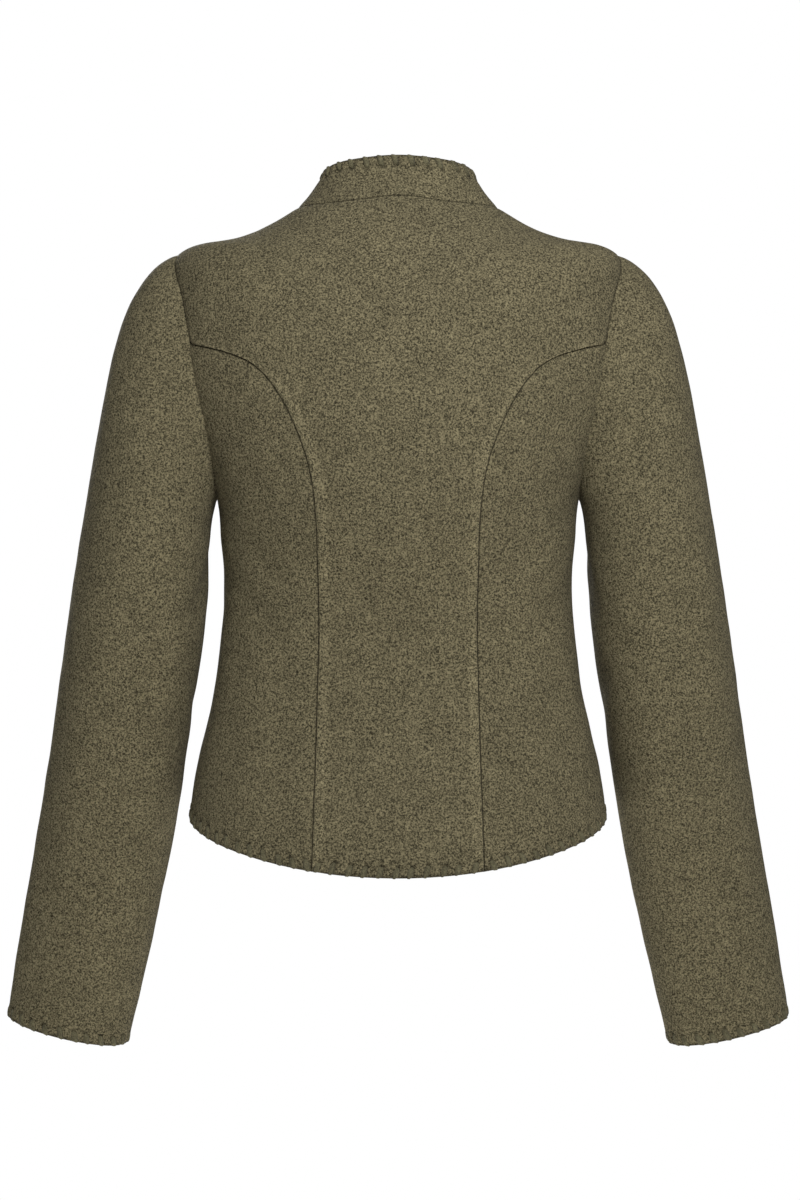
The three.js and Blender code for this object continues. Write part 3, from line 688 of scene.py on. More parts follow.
def add_tubes(name, rings):
    """Closed tubes of yarn from rings of points, (tubes, rings, six sides, 3): quads between rings,
    and each end closed by two quads."""
    tubes, steps, sides = rings.shape[:3]
    ids = np.arange(tubes * steps * sides).reshape(tubes, steps, sides)
    ring = np.concatenate([ids, ids[:, :, :1]], axis=2)
    walls = np.stack([ring[:, :-1, :-1], ring[:, 1:, :-1], ring[:, 1:, 1:], ring[:, :-1, 1:]], -1)
    ends = ids[:, 0], ids[:, -1, ::-1]
    caps = [end[:, quad] for end in ends for quad in ([0, 1, 2, 3], [0, 3, 4, 5])]
    yarn = the_material("plied wool yarn", yarn_material, bpy.context.scene.jacket_stitches)
    piece = add_mesh(name, rings.reshape(-1, 3), [walls.reshape(-1, 4), *caps], yarn)
    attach(piece, "root")
    return piece


# ---- materials ----

def add_node(tree, kind, inputs=(), **settings):
    """A node with its settings and its inputs: an input that is a socket is linked, and any other
    is set."""
    node = tree.nodes.new(kind)
    for key, value in settings.items():
        setattr(node, key, value)
    for key, value in dict(inputs).items():
        if isinstance(value, bpy.types.NodeSocket):
            tree.links.new(value, node.inputs[key])
        else:
            node.inputs[key].default_value = value
    return node


def the_material(name, make, settings):
    """The material of that name, made by its function when it is first asked for."""
    return bpy.data.materials.get(name) or make(name, settings)


def new_material(name):
    """An empty material and its node tree, with the place that its pattern is read from."""
    material = bpy.data.materials.new(name)
    material.use_nodes = True
    tree = material.node_tree
    tree.nodes.clear()
    place = add_node(tree, "ShaderNodeTexCoord").outputs["Object"]
    return material, tree, place


def mottle(tree, place, size, part, values, becomes, detail=2.0, rough=0.5):
    """An uneven pattern with features of a size in mm: noise whose values are taken smoothly from
    one range to another. part picks another part of the noise."""
    noise = add_node(tree, "ShaderNodeTexNoise", {
        "Vector": place, "W": part, "Scale": 1 / (size * MM), "Detail": detail, "Roughness": rough,
    }, noise_dimensions="4D")
    return add_node(tree, "ShaderNodeMapRange", {
        "Value": noise.outputs["Fac"], "From Min": values[0], "From Max": values[1],
        "To Min": becomes[0], "To Max": becomes[1],
    }, interpolation_type="SMOOTHSTEP").outputs["Result"]


def loden_material(name, settings):
    """Boiled and felted wool, melange spun: short hairs of three shades hide the weave, so the eye
    sees a soft matt grain with light and dark flecks, and no gloss at all."""
    material, tree, place = new_material(name)
    # Hairs are 0.03 mm, far too fine to show, so they are drawn as curled tufts of 1.4 mm.
    tufts = mottle(tree, place, 1.4, 0.0, (0.35, 0.65), (0, 1), 2.5, 0.7)
    clumps = mottle(tree, place, 2.6, 3.1, (0.3, 0.7), (0.88, 1.12), 1.5, 0.6)
    light = mottle(tree, place, 1.7, 7.7, (0.58, 0.74), (0, 0.72), 1.0)
    dark = mottle(tree, place, 1.8, 13.3, (0.59, 0.75), (0, 0.62), 1.0)
    shade = add_node(tree, "ShaderNodeMix", {
        "Factor": tufts, 6: settings.dark_fibre, 7: settings.light_fibre,
    }, data_type="RGBA").outputs[2]
    hairs = (0.12, settings.shade), (light, settings.light_fibre), (dark, settings.dark_fibre)
    for factor, hair in hairs:
        shade = add_node(tree, "ShaderNodeMix", {
            "Factor": factor, 6: shade, 7: hair,
        }, data_type="RGBA").outputs[2]
    # Slow changes of tone, 12 to 30 mm across, as the dyed wool was mixed.
    slow = mottle(tree, place, 24.0, 1.9, (0.3, 0.7), (0.94, 1.06))
    # The cloth is painted darker along a seam, round a stitch and in the line of a dart, as painted
    # shade, and painted paler where a seam allowance lifts it, as a painted highlight.
    marks = []
    for key, values, becomes in (
        ("painted_shade_distance", (0.1, 1.0), (0.42, 1.0)), ("dart_shade_distance", (0.2, 0.8), (0.5, 1.0)),
        ("raised", (0.0, 1.0), (1.0, 1.2)),
    ):
        value = add_node(tree, "ShaderNodeAttribute", attribute_name=key).outputs["Fac"]
        size = add_node(tree, "ShaderNodeMath", {0: value}, operation="ABSOLUTE").outputs[0]
        marks.append(add_node(tree, "ShaderNodeMapRange", {
            "Value": size, "From Min": values[0], "From Max": values[1], "To Min": becomes[0],
            "To Max": becomes[1],
        }, interpolation_type="SMOOTHSTEP").outputs["Result"])
    tone = clumps
    for part in (slow, *marks):
        tone = add_node(tree, "ShaderNodeMath", {0: tone, 1: part}, operation="MULTIPLY").outputs[0]
    shade = add_node(tree, "ShaderNodeVectorMath", {
        0: shade, "Scale": tone,
    }, operation="SCALE").outputs[0]
    grain = add_node(tree, "ShaderNodeMath", {0: tufts, 1: clumps}, operation="ADD").outputs[0]
    bump = add_node(tree, "ShaderNodeBump", {"Height": grain, "Strength": 0.6, "Distance": 0.0006})
    surface = add_node(tree, "ShaderNodeBsdfPrincipled", {
        "Base Color": shade, "Roughness": 0.95, "Specular IOR Level": 0.08, "Sheen Weight": 0.02,
        "Sheen Roughness": 0.6, "Normal": bump.outputs["Normal"],
    })
    add_node(tree, "ShaderNodeOutputMaterial", {"Surface": surface.outputs[0]})
    return material


def yarn_material(name, settings):
    """Plied wool yarn, pulled tight: smoother than the felt, with the slanting lines of its twist,
    about 1 mm apart."""
    material, tree, place = new_material(name)
    fibres = mottle(tree, place, 1.2, 0.0, (0.36, 0.6), (0, 1), 2.0, 0.6)
    slow = mottle(tree, place, 6.0, 4.2, (0.3, 0.7), (0.8, 1.15), 1.0)
    dark = (*(c * 0.6 for c in settings.yarn[:3]), 1.0)
    shade = add_node(tree, "ShaderNodeMix", {
        "Factor": fibres, 6: dark, 7: settings.yarn,
    }, data_type="RGBA").outputs[2]
    shade = add_node(tree, "ShaderNodeVectorMath", {
        0: shade, "Scale": slow,
    }, operation="SCALE").outputs[0]
    bump = add_node(tree, "ShaderNodeBump", {"Height": fibres, "Strength": 0.5, "Distance": 0.0004})
    surface = add_node(tree, "ShaderNodeBsdfPrincipled", {
        "Base Color": shade, "Roughness": 0.85, "Specular IOR Level": 0.2, "Sheen Weight": 0.05,
        "Sheen Roughness": 0.5, "Normal": bump.outputs["Normal"],
    })
    add_node(tree, "ShaderNodeOutputMaterial", {"Surface": surface.outputs[0]})
    return material


def horn_material(name, settings):
    """Turned and polished horn: dark brown with long streaks of growth 2 to 4 mm apart, a soft
    gloss, and fine turning marks."""
    material, tree, place = new_material(name)
    stretched = add_node(tree, "ShaderNodeMapping", {
        "Vector": place, "Scale": (1.0, 0.5, 0.22),
    }).outputs[0]
    streaks = mottle(tree, stretched, 2.4, 0.0, (0.38, 0.62), (0, 1), 3.0, 0.6)
    fine = mottle(tree, stretched, 0.5, 2.0, (0.3, 0.7), (0.28, 0.42))
    shade = add_node(tree, "ShaderNodeMix", {
        "Factor": streaks, 6: settings.horn_dark, 7: settings.horn,
    }, data_type="RGBA").outputs[2]
    bump = add_node(tree, "ShaderNodeBump", {"Height": fine, "Strength": 0.15, "Distance": 0.0002})
    surface = add_node(tree, "ShaderNodeBsdfPrincipled", {
        "Base Color": shade, "Roughness": fine, "IOR": 1.54, "Normal": bump.outputs["Normal"],
    })
    add_node(tree, "ShaderNodeOutputMaterial", {"Surface": surface.outputs[0]})
    return material


# ---- the cut pieces ----

def mirrored(points, hand):
    """Points of the wearer's left side, x turned round for the right: (hand * x, y, z)."""
    return points * np.array([hand, 1, 1])


def piece_edge(side, pitch):
    """The outer edge of the back (side -1) or a front (side 1): the shoulder seam, the armhole and
    the seam to the hem, as places, and the lengths where the second and third of them start."""
    shoulder_drops = grid_lines(SHOULDER_END, pitch, end=CORNER) * SHOULDER_END
    shoulder = np.full_like(shoulder_drops, SIDE), shoulder_drops
    if side < 0:
        arm = armhole(np.linspace(0, SEAM_CLOCK, max(8, round(ARMHOLE_OF_BACK / pitch)) + 1))
        seam = back_seam(grid_lines(BACK_SEAM_LENGTH, pitch, CORNER, STITCHED))
    else:
        count = max(8, round(ARMHOLE_OF_FRONT / pitch)) + 1
        arm = armhole(np.linspace(2 * HALF_TURN, HALF_TURN, count))
        drops = mix(UNDERARM, HEM, grid_lines(HEM - UNDERARM, pitch, CORNER, STITCHED))
        seam = np.full_like(drops, SIDE), drops
    turn, drop = join(shoulder, (arm[0][:-1], arm[1][:-1]), seam)
    lengths = chain_lengths(body(turn, drop))
    starts = lengths[len(shoulder_drops) - 1], lengths[len(shoulder_drops) + len(arm[0]) - 3]
    return turn, drop, lengths, starts


def edge_strength(lengths, point):
    """Strength of the seams down a piece's edge: 1 - 0.75 * e^-(distance to the shoulder point /
    12)^2."""
    return (1 - 0.75 * np.exp(-((lengths - point) / 12) ** 2))[:, None]


def signed_way_from_dart(x, z):
    """Signed distance in mm from the waist dart, a parabola through its three points; far
    away above its point and below its end."""
    line = np.polyfit(DART[:, 1], DART[:, 0], 2)
    away = (x - np.polyval(line, z)) / np.sqrt(1 + np.polyval(np.polyder(line), z) ** 2)
    return np.where((z < DART[0, 1]) & (z > DART[2, 1]), away, FAR)


class JACKET_OT_add_back(bpy.types.Operator):
    """Adds the back: from the neck and the shoulder seams to the curved back seams and the hem"""
    bl_idname = "jacket.add_back"
    bl_label = "Back"

    def execute(self, context):
        settings, stitches = context.scene.jacket_cloth, context.scene.jacket_stitches
        turn, drop, lengths, starts = piece_edge(-1, settings.pitch / MM * 1.03)
        middle_drop = HEM * lengths / lengths[-1]
        part = grid_lines(BACK_WIDE, settings.pitch / MM * 0.86) * 2 - 1
        turns = turn[:, None] * part
        drops = mix(middle_drop[:, None], drop[:, None], part ** 2)
        points, normals = body(turns, drops), body_normal(turns, drops)
        far = ways_in(points, False)
        beside = np.minimum(far["left"], far["right"])
        on_seam = smooth_step(starts[1] - 2, starts[1] + 8, lengths)[:, None]
        wide = settings.ridge_width / MM
        sewn = edge_strength(lengths, starts[0])
        ridge = smooth_step(-0.2, 1.4, beside) * (1 - smooth_step(wide - 2.5, wide + 1.5, beside))
        relief = creases(points[..., 0], points[..., 2], BACK_CREASES)
        wall = cloth_wall(points, normals, settings, stitches, ["bottom"],
                          {"top": 1.0, "left": sewn, "right": sewn}, relief, seed=3)
        wall["middle"] += normals * (settings.ridge / MM * ridge * on_seam)[..., None]
        # The material also paints the ridge up to a fifth lighter: a painted highlight beside the seam.
        wall["raised"] = ridge * on_seam
        piece = add_cloth("back", wall, settings)
        sewing = add_stitches("hem_stitches_back", wall, "bottom", stitches)
        return {"FINISHED"}


class JACKET_OT_add_side_backs(bpy.types.Operator):
    """Adds the two side backs: patches between the curved back seam, the armhole, the side seam and
    the hem"""
    bl_idname = "jacket.add_side_backs"
    bl_label = "Side backs"

    def execute(self, context):
        settings, stitches = context.scene.jacket_cloth, context.scene.jacket_stitches
        for name, hand in (("side_back_l", 1), ("side_back_r", -1)):
            self.add_one(name, hand, settings, stitches)
        return {"FINISHED"}

    def add_one(self, name, hand, settings, stitches):
        """A Coons patch: the blend of the two pairs of opposite edges, less the blend of the four
        corners."""
        down = grid_lines(SIDE_BACK_LONG, settings.pitch / MM, end=STITCHED)
        across = grid_lines(SIDE_BACK_WIDE, settings.pitch / MM * 0.62)
        inner = np.stack(back_seam(down ** 1.5), -1)
        outer = np.stack([np.full_like(down, SIDE), mix(UNDERARM, HEM, down)], -1)
        top = np.stack(armhole(mix(SEAM_CLOCK, HALF_TURN, across)), -1)
        bottom = np.stack([mix(inner[-1, 0], SIDE, across), np.full_like(across, HEM)], -1)
        u, v = across[None, :, None], down[:, None, None]
        corners = mix(mix(top[0], top[-1], u), mix(bottom[0], bottom[-1], u), v)
        places = mix(top[None], bottom[None], v) + mix(inner[:, None], outer[:, None], u) - corners
        turns, drops = places[..., 0], places[..., 1]
        points, normals = body(turns, drops), body_normal(turns, drops)
        relief = creases(points[..., 0], points[..., 2], SIDE_CREASES[hand])
        wall = cloth_wall(mirrored(points, hand), mirrored(normals, hand), settings, stitches,
                          ["bottom"], {"top": 0.15, "left": 1.0, "right": 1.0}, relief,
                          seed=20 + hand, hand=-hand)
        piece = add_cloth(name, wall, settings)
        sewing = add_stitches(f"hem_stitches_{name}", wall, "bottom", stitches)


class JACKET_OT_add_fronts(bpy.types.Operator):
    """Adds the two fronts, the right one over the left"""
    bl_idname = "jacket.add_fronts"
    bl_label = "Fronts"

    def execute(self, context):
        settings, stitches = context.scene.jacket_cloth, context.scene.jacket_stitches
        for name, hand in (("front_l", 1), ("front_r", -1)):
            self.add_one(name, hand, settings, stitches)
        return {"FINISHED"}

    def add_one(self, name, hand, settings, stitches):
        """Rows from an edge past the middle line to the outer edge. The left front sinks under the
        lap by a smooth step."""
        turn, drop, lengths, starts = piece_edge(1, settings.pitch / MM * 1.03)
        middle_drop = HEM * lengths / lengths[-1]
        lap_turn = HALF_TURN + LAP_PAST / body_round(middle_drop)[:, 2]
        part = grid_lines(FRONT_WIDE, settings.pitch / MM * 0.8, STITCHED)
        turns = mix(lap_turn[:, None], turn[:, None], part)
        drops = mix(middle_drop[:, None], drop[:, None], part ** 2)
        points, normals = body(turns, drops), body_normal(turns, drops)
        from_dart = signed_way_from_dart(points[..., 0], points[..., 2])
        relief = creases(points[..., 0], points[..., 2], FRONT_CREASES[hand])
        relief = relief - 0.5 * np.exp(-(from_dart / 2.4) ** 2)
        from_middle = (HALF_TURN - turns) * body_round(drops)[..., 2]
        relief = relief * smooth_step(LAP_RAMP_TO - 10, LAP_RAMP_FROM, from_middle)
        edging = ["bottom", "left"]
        if hand > 0:
            sink = settings.wall / MM + 2 * GAP + 1.1
            relief = relief - sink * smooth_step(LAP_RAMP_FROM, LAP_RAMP_TO, from_middle)
            edging = ["bottom"]
        sewn = edge_strength(lengths, starts[0])
        wall = cloth_wall(mirrored(points, hand), mirrored(normals, hand), settings, stitches, edging,
                          {"top": 1.0, "right": sewn}, relief, seed=40 + hand, hand=-hand)
        # The material paints the line of the dart darker: painted shade in its fold.
        wall["dart_shade_distance"] = from_dart
        piece = add_cloth(name, wall, settings)
        sewing = [add_stitches(f"hem_stitches_{name}", wall, "bottom", stitches)]
        if hand < 0:
            sewing.append(add_stitches("front_edge_stitches", wall, "left", stitches))


def collar_surface(turn, part):
    """Collar: straight lines from the neck seam to the rim, moved in by 4 * hollow * part *
    (1 - part)."""
    inward = np.stack([-np.sin(turn), -np.cos(turn), np.zeros_like(turn)], -1)
    straight = mix(round_point(body_round(np.zeros_like(turn)), turn),
                   round_point(np.broadcast_to(COLLAR_RIM, turn.shape + (8,)), turn), part[..., None])
    return straight + inward * (COLLAR_HOLLOW * 4 * part * (1 - part))[..., None]


class JACKET_OT_add_collar(bpy.types.Operator):
    """Adds the stand collar, open at the middle front, and the small tack at its middle back"""
    bl_idname = "jacket.add_collar"
    bl_label = "Collar"

    def execute(self, context):
        settings, stitches = context.scene.jacket_cloth, context.scene.jacket_stitches
        end = HALF_TURN - COLLAR_OPEN / COLLAR_RIM[2]
        turns = grid_lines(COLLAR_LONG, settings.pitch / MM * 0.75, STITCHED, STITCHED)
        turns = (turns * 2 - 1) * end
        low, high = collar_surface(np.zeros(2), np.array([0.0, 1.0]))
        tall = np.linalg.norm(high - low)
        parts = 1 - grid_lines(tall, settings.pitch / MM * 0.6, STITCHED)
        turn, part = np.meshgrid(turns, parts)
        points = collar_surface(turn, part)
        normals = surface_normal(collar_surface, turn, part, 0.002, 0.01, -1)
        neck = body_normal(turns, np.full_like(turns, 0.5))
        normals = unit(mix(neck, normals, smooth_step(0, 5, part[..., None] * tall)))
        wall = cloth_wall(points, normals, settings, stitches, ["top", "left", "right"],
                          {"bottom": 1.0}, np.zeros_like(turn), seed=60)
        piece = add_cloth("collar", wall, settings)
        sewing = [add_stitches("collar_edge_stitches", wall, "top", stitches)]
        sewing.append(self.add_tack(wall, settings))
        return {"FINISHED"}

    def add_tack(self, wall, settings):
        """A tack of one thread at the middle back just over the collar seam: a short flat arc,
        height = sine of the way along it."""
        at = wall["middle"][-9, wall["middle"].shape[1] // 2]
        normal, along = np.array([0.0, 1.0, 0.0]), np.array([1.0, 0.0, -0.35])
        way = np.linspace(0, 1, 9)
        lift = settings.wall / MM / 2 + 0.7 * np.sin(math.pi * way) - 0.5
        centre = at + np.outer((way - 0.5) * 5.0, along) + np.outer(lift, normal)
        return add_tubes("collar_tack", thread_rings(centre, normal, 0.7, 0.5)[None])


def thread_rings(centre, up, wide, tall):
    """Rings round a line of thread with its half width and height, closed down to a third at both
    ends."""
    tangent = unit(np.gradient(centre, axis=0))
    across = unit(np.cross(tangent, np.broadcast_to(up, centre.shape)))
    size = np.ones((len(centre), 1))
    size[[0, -1]] = 0.35
    return rings_round(centre, across * wide * size, np.cross(across, tangent) * tall * size)


def arm_point(clock, drop):
    """Arm of the sleeve: a superellipse between the inner and outer edges, its back edge lowered by
    the lean. Out and backward are the cosine and sine of the clock angle to the power 2/n."""
    x_in, z_in, x_out, z_out, middle, deep, lean = np.moveaxis(sleeve_round(drop), -1, 0)
    out = np.sign(np.cos(clock)) * np.abs(np.cos(clock)) ** (2 / SLEEVE_SQUARE)
    backward = np.sign(np.sin(clock)) * np.abs(np.sin(clock)) ** (2 / SLEEVE_SQUARE)
    part, lean = (out + 1) / 2, np.radians(lean)
    return np.stack([
        mix(x_in, x_out, part), middle + deep * backward * np.cos(lean),
        mix(z_in, z_out, part) - deep * backward * np.sin(lean),
    ], -1)


def sleeve_surface(clock, run):
    """Sleeve: run 0 to 1 is the cap, for each clock angle a cubic Bezier from the armhole to the
    top of the arm, and 1 to 2 is the arm."""
    low = (1 - np.cos(clock)) / 2
    start = body(*armhole(clock))
    end = arm_point(clock, np.zeros_like(clock))
    slope = np.radians(mix(*CAP_SLOPE, low))
    leave = unit(np.stack([np.cos(slope), CAP_FLARE * np.sin(clock), -np.sin(slope)], -1))
    arrive = unit(arm_point(clock, np.ones_like(clock)) - end)
    chord = np.linalg.norm(end - start, axis=-1)
    first = start + leave * (chord * mix(*CAP_START, low))[..., None]
    second = end - arrive * (chord * mix(*CAP_END, low))[..., None]
    t = np.clip(run, 0, 1)[..., None]
    cap = ((1 - t) ** 3 * start + 3 * (1 - t) ** 2 * t * first + 3 * (1 - t) * t ** 2 * second
           + t ** 3 * end)
    arm = arm_point(clock, np.clip(run - 1, 0, 1) * CUFF)
    return np.where(run[..., None] < 1, cap, arm)


class JACKET_OT_add_sleeves(bpy.types.Operator):
    """Adds the two set-in sleeves with their stitched cuffs"""
    bl_idname = "jacket.add_sleeves"
    bl_label = "Sleeves"

    def execute(self, context):
        settings, stitches = context.scene.jacket_cloth, context.scene.jacket_stitches
        pitch = settings.pitch / MM
        cap = grid_lines(CAP_LONG, pitch, end=CORNER)
        arm = 1 + grid_lines(CUFF, pitch * 1.05, CORNER, STITCHED)
        runs = np.concatenate([cap[:-1], arm])
        count = round(SLEEVE_WIDE / pitch)
        clocks = np.arange(count) / count * 2 * math.pi
        clock, run = np.meshgrid(clocks, runs)
        points = sleeve_surface(clock, run)
        normals = surface_normal(sleeve_surface, clock, np.clip(run, 0.01, 1.99), 0.01, 0.01, -1)
        # The cloth turns from the body's slope to the sleeve's within 6 mm of the armhole.
        way = ways_in(points, True)["top"][..., None]
        normals = unit(mix(body_normal(*armhole(clocks)), normals, smooth_step(0, 6, way)))
        # Below the back seam the armhole lies in a soft fold, with no line.
        soft = smooth_step(SEAM_CLOCK - 0.05, SEAM_CLOCK + 0.15, clocks) * (
            1 - smooth_step(HALF_TURN, HALF_TURN + 0.5, clocks)) * 0.85
        soft += 0.75 * (np.exp(-(clocks / 0.2) ** 2) + np.exp(-((clocks - 2 * HALF_TURN) / 0.2) ** 2))
        for name, hand in (("sleeve_l", 1), ("sleeve_r", -1)):
            relief = creases(np.degrees(clock), points[..., 2], SLEEVE_CREASES[hand], 360)
            wall = cloth_wall(mirrored(points, hand), mirrored(normals, hand), settings, stitches,
                              ["bottom"], {"top": np.broadcast_to(1 - soft, clock.shape)},
                              relief, wrap=True, seed=80 + hand, hand=hand)
            piece = add_cloth(name, wall, settings)
            sewing = add_stitches(f"cuff_stitches_{name[-1]}", wall, "bottom", stitches)
        return {"FINISHED"}


class JACKET_OT_add_buttons(bpy.types.Operator):
    """Adds the six turned horn buttons down the middle front, with the thread that holds each"""
    bl_idname = "jacket.add_buttons"
    bl_label = "Buttons"

    def execute(self, context):
        buttons = context.scene.jacket_buttons
        drops = np.linspace(0, HEM, 201)
        lengths = chain_lengths(body(np.full_like(drops, HALF_TURN), drops))
        places = drops[np.searchsorted(lengths, np.linspace(BUTTONS_FROM, BUTTONS_TO, BUTTON_COUNT))]
        for i, drop in enumerate(places, 1):
            turn = np.array([HALF_TURN])
            at, normal = body(turn, np.array([drop]))[0], body_normal(turn, np.array([drop]))[0]
            across = np.array([1.0, 0.0, 0.0])
            axes = np.stack([across, np.cross(normal, across), normal])
            start = at + normal * buttons.lift / MM
            self.add_button(f"button_{i}", start, axes, buttons)
            self.add_thread(f"button_thread_{i}", start, axes, buttons)
        return {"FINISHED"}

    def add_button(self, name, start, axes, buttons):
        """A lathe shape: radius and height go along a profile over a rounded edge, a raised rim and
        a dished face, and each hole lowers the face by a soft bell."""
        radius, thick = buttons.radius / MM, buttons.thickness / MM
        rim, dish = buttons.rim / MM, buttons.dish / MM
        hole, hole_apart = buttons.hole / MM, buttons.hole_apart / MM
        edge = np.linspace(-SIDE, SIDE, 9)
        under = np.linspace(0.02, radius - rim, 5)
        face = np.linspace(radius - rim, 0.02, 30)
        down = dish * smooth_step(radius - rim * 0.7, radius - 2.4 * rim, face)
        reach = np.concatenate([under[:-1], radius - rim + rim * np.cos(edge), face[1:]])
        tall = np.concatenate([np.zeros(4), thick / 2 + thick / 2 * np.sin(edge), thick - down[1:]])
        angle = np.arange(BUTTON_SIDES) / BUTTON_SIDES * 2 * math.pi
        x, y = reach[:, None] * np.cos(angle), reach[:, None] * np.sin(angle)
        height = np.broadcast_to(tall[:, None], x.shape).copy()
        on_face = (np.arange(len(reach)) >= len(reach) - 29)[:, None]
        for quarter in range(4):
            at = math.pi / 4 + quarter * SIDE
            away = np.hypot(x - hole_apart * math.cos(at), y - hole_apart * math.sin(at))
            height -= on_face * 2.0 * (1 - smooth_step(hole * 0.6, hole * 1.25, away))
        points = start + np.stack([x, y, height], -1) @ axes
        ids = np.arange(x.size).reshape(x.shape)
        ids = np.concatenate([ids, ids[:, :1]], axis=1)
        # The two small rings at the middle are closed by triangles to one point each.
        hubs = np.stack([points[0].mean(0), points[-1].mean(0)])
        first = np.stack([np.full(BUTTON_SIDES, x.size), ids[0, :-1], ids[0, 1:]], -1)
        last = np.stack([np.full(BUTTON_SIDES, x.size + 1), ids[-1, 1:], ids[-1, :-1]], -1)
        horn = the_material("polished horn", horn_material, buttons)
        piece = add_mesh(f"{name}_turned", np.concatenate([points.reshape(-1, 3), hubs]),
                         [grid_faces(ids), first, last], horn)
        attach(piece, "root")
        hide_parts(name)

    def add_thread(self, name, start, axes, buttons):
        """Two crossing arcs of thread over the middle of the button, from hole to hole, and a short
        stem under it."""
        way = np.linspace(-1, 1, 9)
        lift = buttons.thickness / MM - buttons.dish / MM + 0.75 - 1.9 * way ** 4
        rings = []
        for number, at in enumerate((math.pi / 4, 3 * math.pi / 4)):
            flat = np.outer(way * buttons.hole_apart / MM, (math.cos(at), math.sin(at)))
            centre = start + np.column_stack([flat, lift + 0.35 * number]) @ axes
            rings.append(thread_rings(centre, axes[2], 0.55, 0.45))
        stem = start + np.outer(np.linspace(-buttons.lift / MM - 0.8, 0.6, 9), axes[2])
        rings.append(thread_rings(stem, axes[0], 1.6, 1.6))
        add_tubes(name, np.stack(rings))


# ---- stage ----

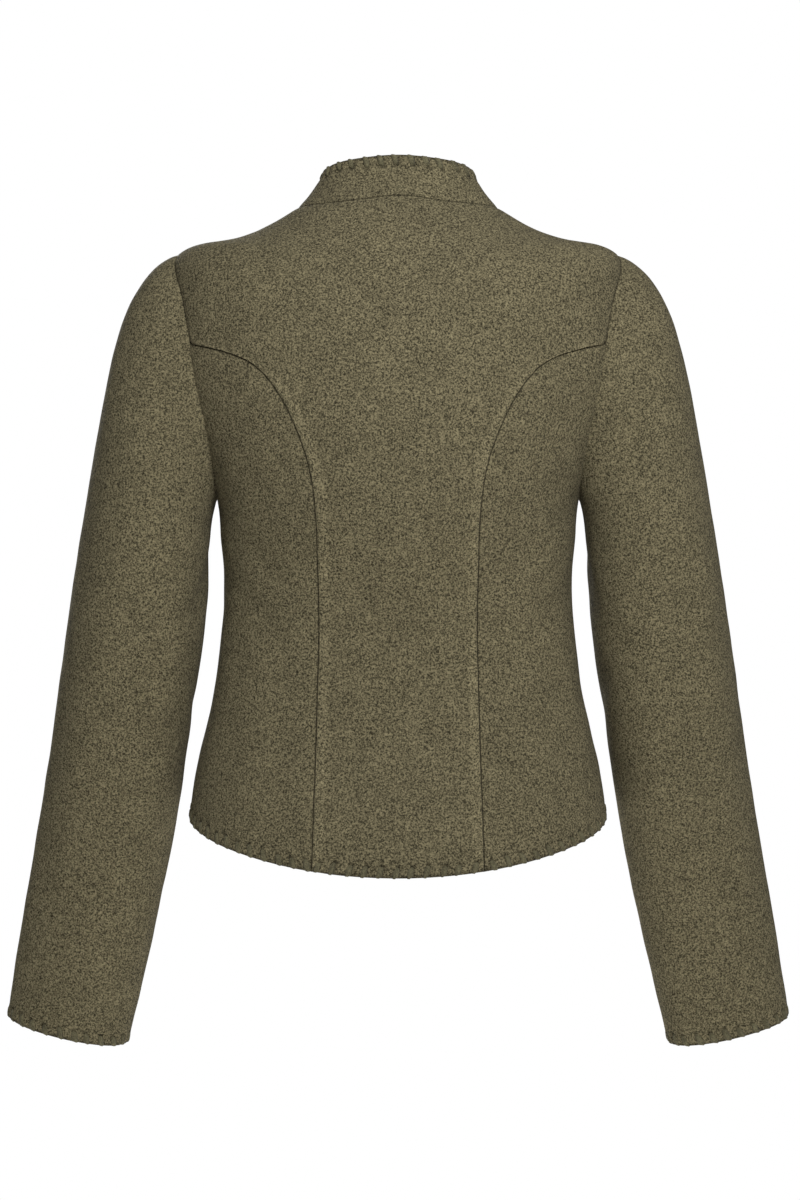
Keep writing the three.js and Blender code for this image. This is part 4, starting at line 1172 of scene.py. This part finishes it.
class JACKET_OT_add_stage(bpy.types.Operator):
    """Adds the plain floor, the white surround, the three lamps and the camera"""
    bl_idname = "jacket.add_stage"
    bl_label = "Stage"

    def execute(self, context):
        stage = context.scene.jacket_stage
        self.add_floor(stage)
        self.add_surround(context, stage)
        self.add_lamp("key", stage.key_power, 0.6, (-0.38, 1.5, 0.85), (0.0, 0.0, -0.2))
        self.add_lamp("front", stage.front_power, 1.0, (0.7, -1.9, 0.35), (0.0, 0.0, -0.3))
        # The floor has a lamp of its own, so that it is pale and the jacket's light stays as it is.
        wash = self.add_lamp("wash", stage.wash_power, 2.0, (0.0, 0.0, 1.2), (0.0, 0.0, 0.0))
        floor_only = bpy.data.collections.new("floor only")
        floor_only.objects.link(bpy.data.objects["floor"])
        wash.light_linking.receiver_collection = floor_only
        lens = bpy.data.cameras.new("camera")
        lens.lens, lens.sensor_width, lens.dof.use_dof = stage.focal, 36, False
        lens.clip_end = 50
        camera = bpy.data.objects.new("camera", lens)
        camera.location = (stage.camera_side, stage.camera_away, stage.camera_height)
        camera.rotation_euler = (SIDE, 0, HALF_TURN)
        context.scene.collection.objects.link(camera)
        context.scene.camera = camera
        context.scene.view_settings.view_transform = "Standard"
        return {"FINISHED"}

    def add_lamp(self, name, power, size, at, target):
        """A square soft lamp at a point, turned so that it shines on another."""
        light = bpy.data.lights.new(name, "AREA")
        light.energy, light.size = power, size
        lamp = bpy.data.objects.new(name, light)
        lamp.location = at
        way = np.array(target) - np.array(at)
        lamp.rotation_euler = (
            math.acos(-way[2] / np.linalg.norm(way)), 0, math.atan2(way[1], way[0]) - SIDE,
        )
        lamp.visible_camera = False
        bpy.context.scene.collection.objects.link(lamp)
        return lamp

    def add_floor(self, stage):
        """A flat ring grid: x = r cos, y = r sin, closed at its middle by one face."""
        angle = np.arange(96) / 96 * 2 * math.pi
        reach = np.array([0.2, 0.6, 1.0]) * stage.floor_radius
        points = np.stack([np.outer(reach, np.cos(angle)), np.outer(reach, np.sin(angle)),
                           np.full((3, 96), stage.floor_height)], -1)
        ids = np.arange(3 * 96).reshape(3, 96)
        faces = grid_faces(np.concatenate([ids, ids[:, :1]], axis=1)).tolist() + [ids[0].tolist()]
        mesh = bpy.data.meshes.new("floor")
        mesh.from_pydata(points.reshape(-1, 3).tolist(), [], faces)
        material, tree, place = new_material("matt painted floor")
        # Paint over plaster, rolled on: an even matt white with marks about 3 mm apart.
        marks = mottle(tree, place, 3.0, 0.0, (0.3, 0.7), (0, 1))
        bump = add_node(tree, "ShaderNodeBump", {"Height": marks, "Strength": 0.1, "Distance": 0.0003})
        duller = (*(c * 0.97 for c in stage.floor[:3]), 1.0)
        shade = add_node(tree, "ShaderNodeMix", {
            "Factor": marks, 6: duller, 7: stage.floor,
        }, data_type="RGBA").outputs[2]
        surface = add_node(tree, "ShaderNodeBsdfPrincipled", {
            "Base Color": shade, "Roughness": 0.9, "Normal": bump.outputs["Normal"],
        })
        add_node(tree, "ShaderNodeOutputMaterial", {"Surface": surface.outputs[0]})
        mesh.materials.append(material)
        floor = bpy.data.objects.new("floor", mesh)
        bpy.context.scene.collection.objects.link(floor)

    def add_surround(self, context, stage):
        """The world: one brightness where it is seen, and another for the light that it gives."""
        world = bpy.data.worlds.new("surround")
        world.use_nodes = True
        world.node_tree.nodes.clear()
        tree = world.node_tree
        # The surround is seen white, as a lit backdrop far behind, and gives only the fill light.
        seen = add_node(tree, "ShaderNodeLightPath").outputs["Is Camera Ray"]
        fill = add_node(tree, "ShaderNodeBackground", {"Strength": stage.fill})
        glow = add_node(tree, "ShaderNodeBackground", {"Strength": stage.surround})
        for light in (fill, glow):
            light.inputs["Color"].default_value = (1.0, 1.0, 1.0, 1.0)
        both = add_node(tree, "ShaderNodeMixShader", {
            0: seen, 1: fill.outputs[0], 2: glow.outputs[0],
        })
        add_node(tree, "ShaderNodeOutputWorld", {"Surface": both.outputs[0]})
        context.scene.world = world


class JACKET_PT_panel(bpy.types.Panel):
    """The jacket's settings and one button for each group of pieces"""
    bl_idname = "JACKET_PT_panel"
    bl_label = "Loden Jacket"
    bl_space_type = "VIEW_3D"
    bl_region_type = "UI"
    bl_category = "Jacket"

    def draw(self, context):
        for operator in OPERATORS:
            self.layout.operator(operator.bl_idname)
        for key, group in GROUPS.items():
            box = self.layout.box()
            for field in group.__annotations__:
                box.prop(getattr(context.scene, key), field)


GROUPS = {
    "jacket_cloth": JacketCloth,
    "jacket_stitches": JacketStitches,
    "jacket_buttons": JacketButtons,
    "jacket_stage": JacketStage,
}
OPERATORS = (
    JACKET_OT_add_stage,
    JACKET_OT_add_back,
    JACKET_OT_add_side_backs,
    JACKET_OT_add_fronts,
    JACKET_OT_add_collar,
    JACKET_OT_add_sleeves,
    JACKET_OT_add_buttons,
)


def register():
    for item in (*GROUPS.values(), *OPERATORS, JACKET_PT_panel):
        bpy.utils.register_class(item)
    for key, group in GROUPS.items():
        setattr(bpy.types.Scene, key, bpy.props.PointerProperty(type=group))


def unregister():
    for key in GROUPS:
        delattr(bpy.types.Scene, key)
    for item in reversed((*GROUPS.values(), *OPERATORS, JACKET_PT_panel)):
        bpy.utils.unregister_class(item)


def main():
    register()
    bpy.ops.jacket.add_stage()
    bpy.ops.jacket.add_back()
    bpy.ops.jacket.add_side_backs()
    bpy.ops.jacket.add_fronts()
    bpy.ops.jacket.add_collar()
    bpy.ops.jacket.add_sleeves()
    bpy.ops.jacket.add_buttons()


if __name__ == "__main__":
    main()
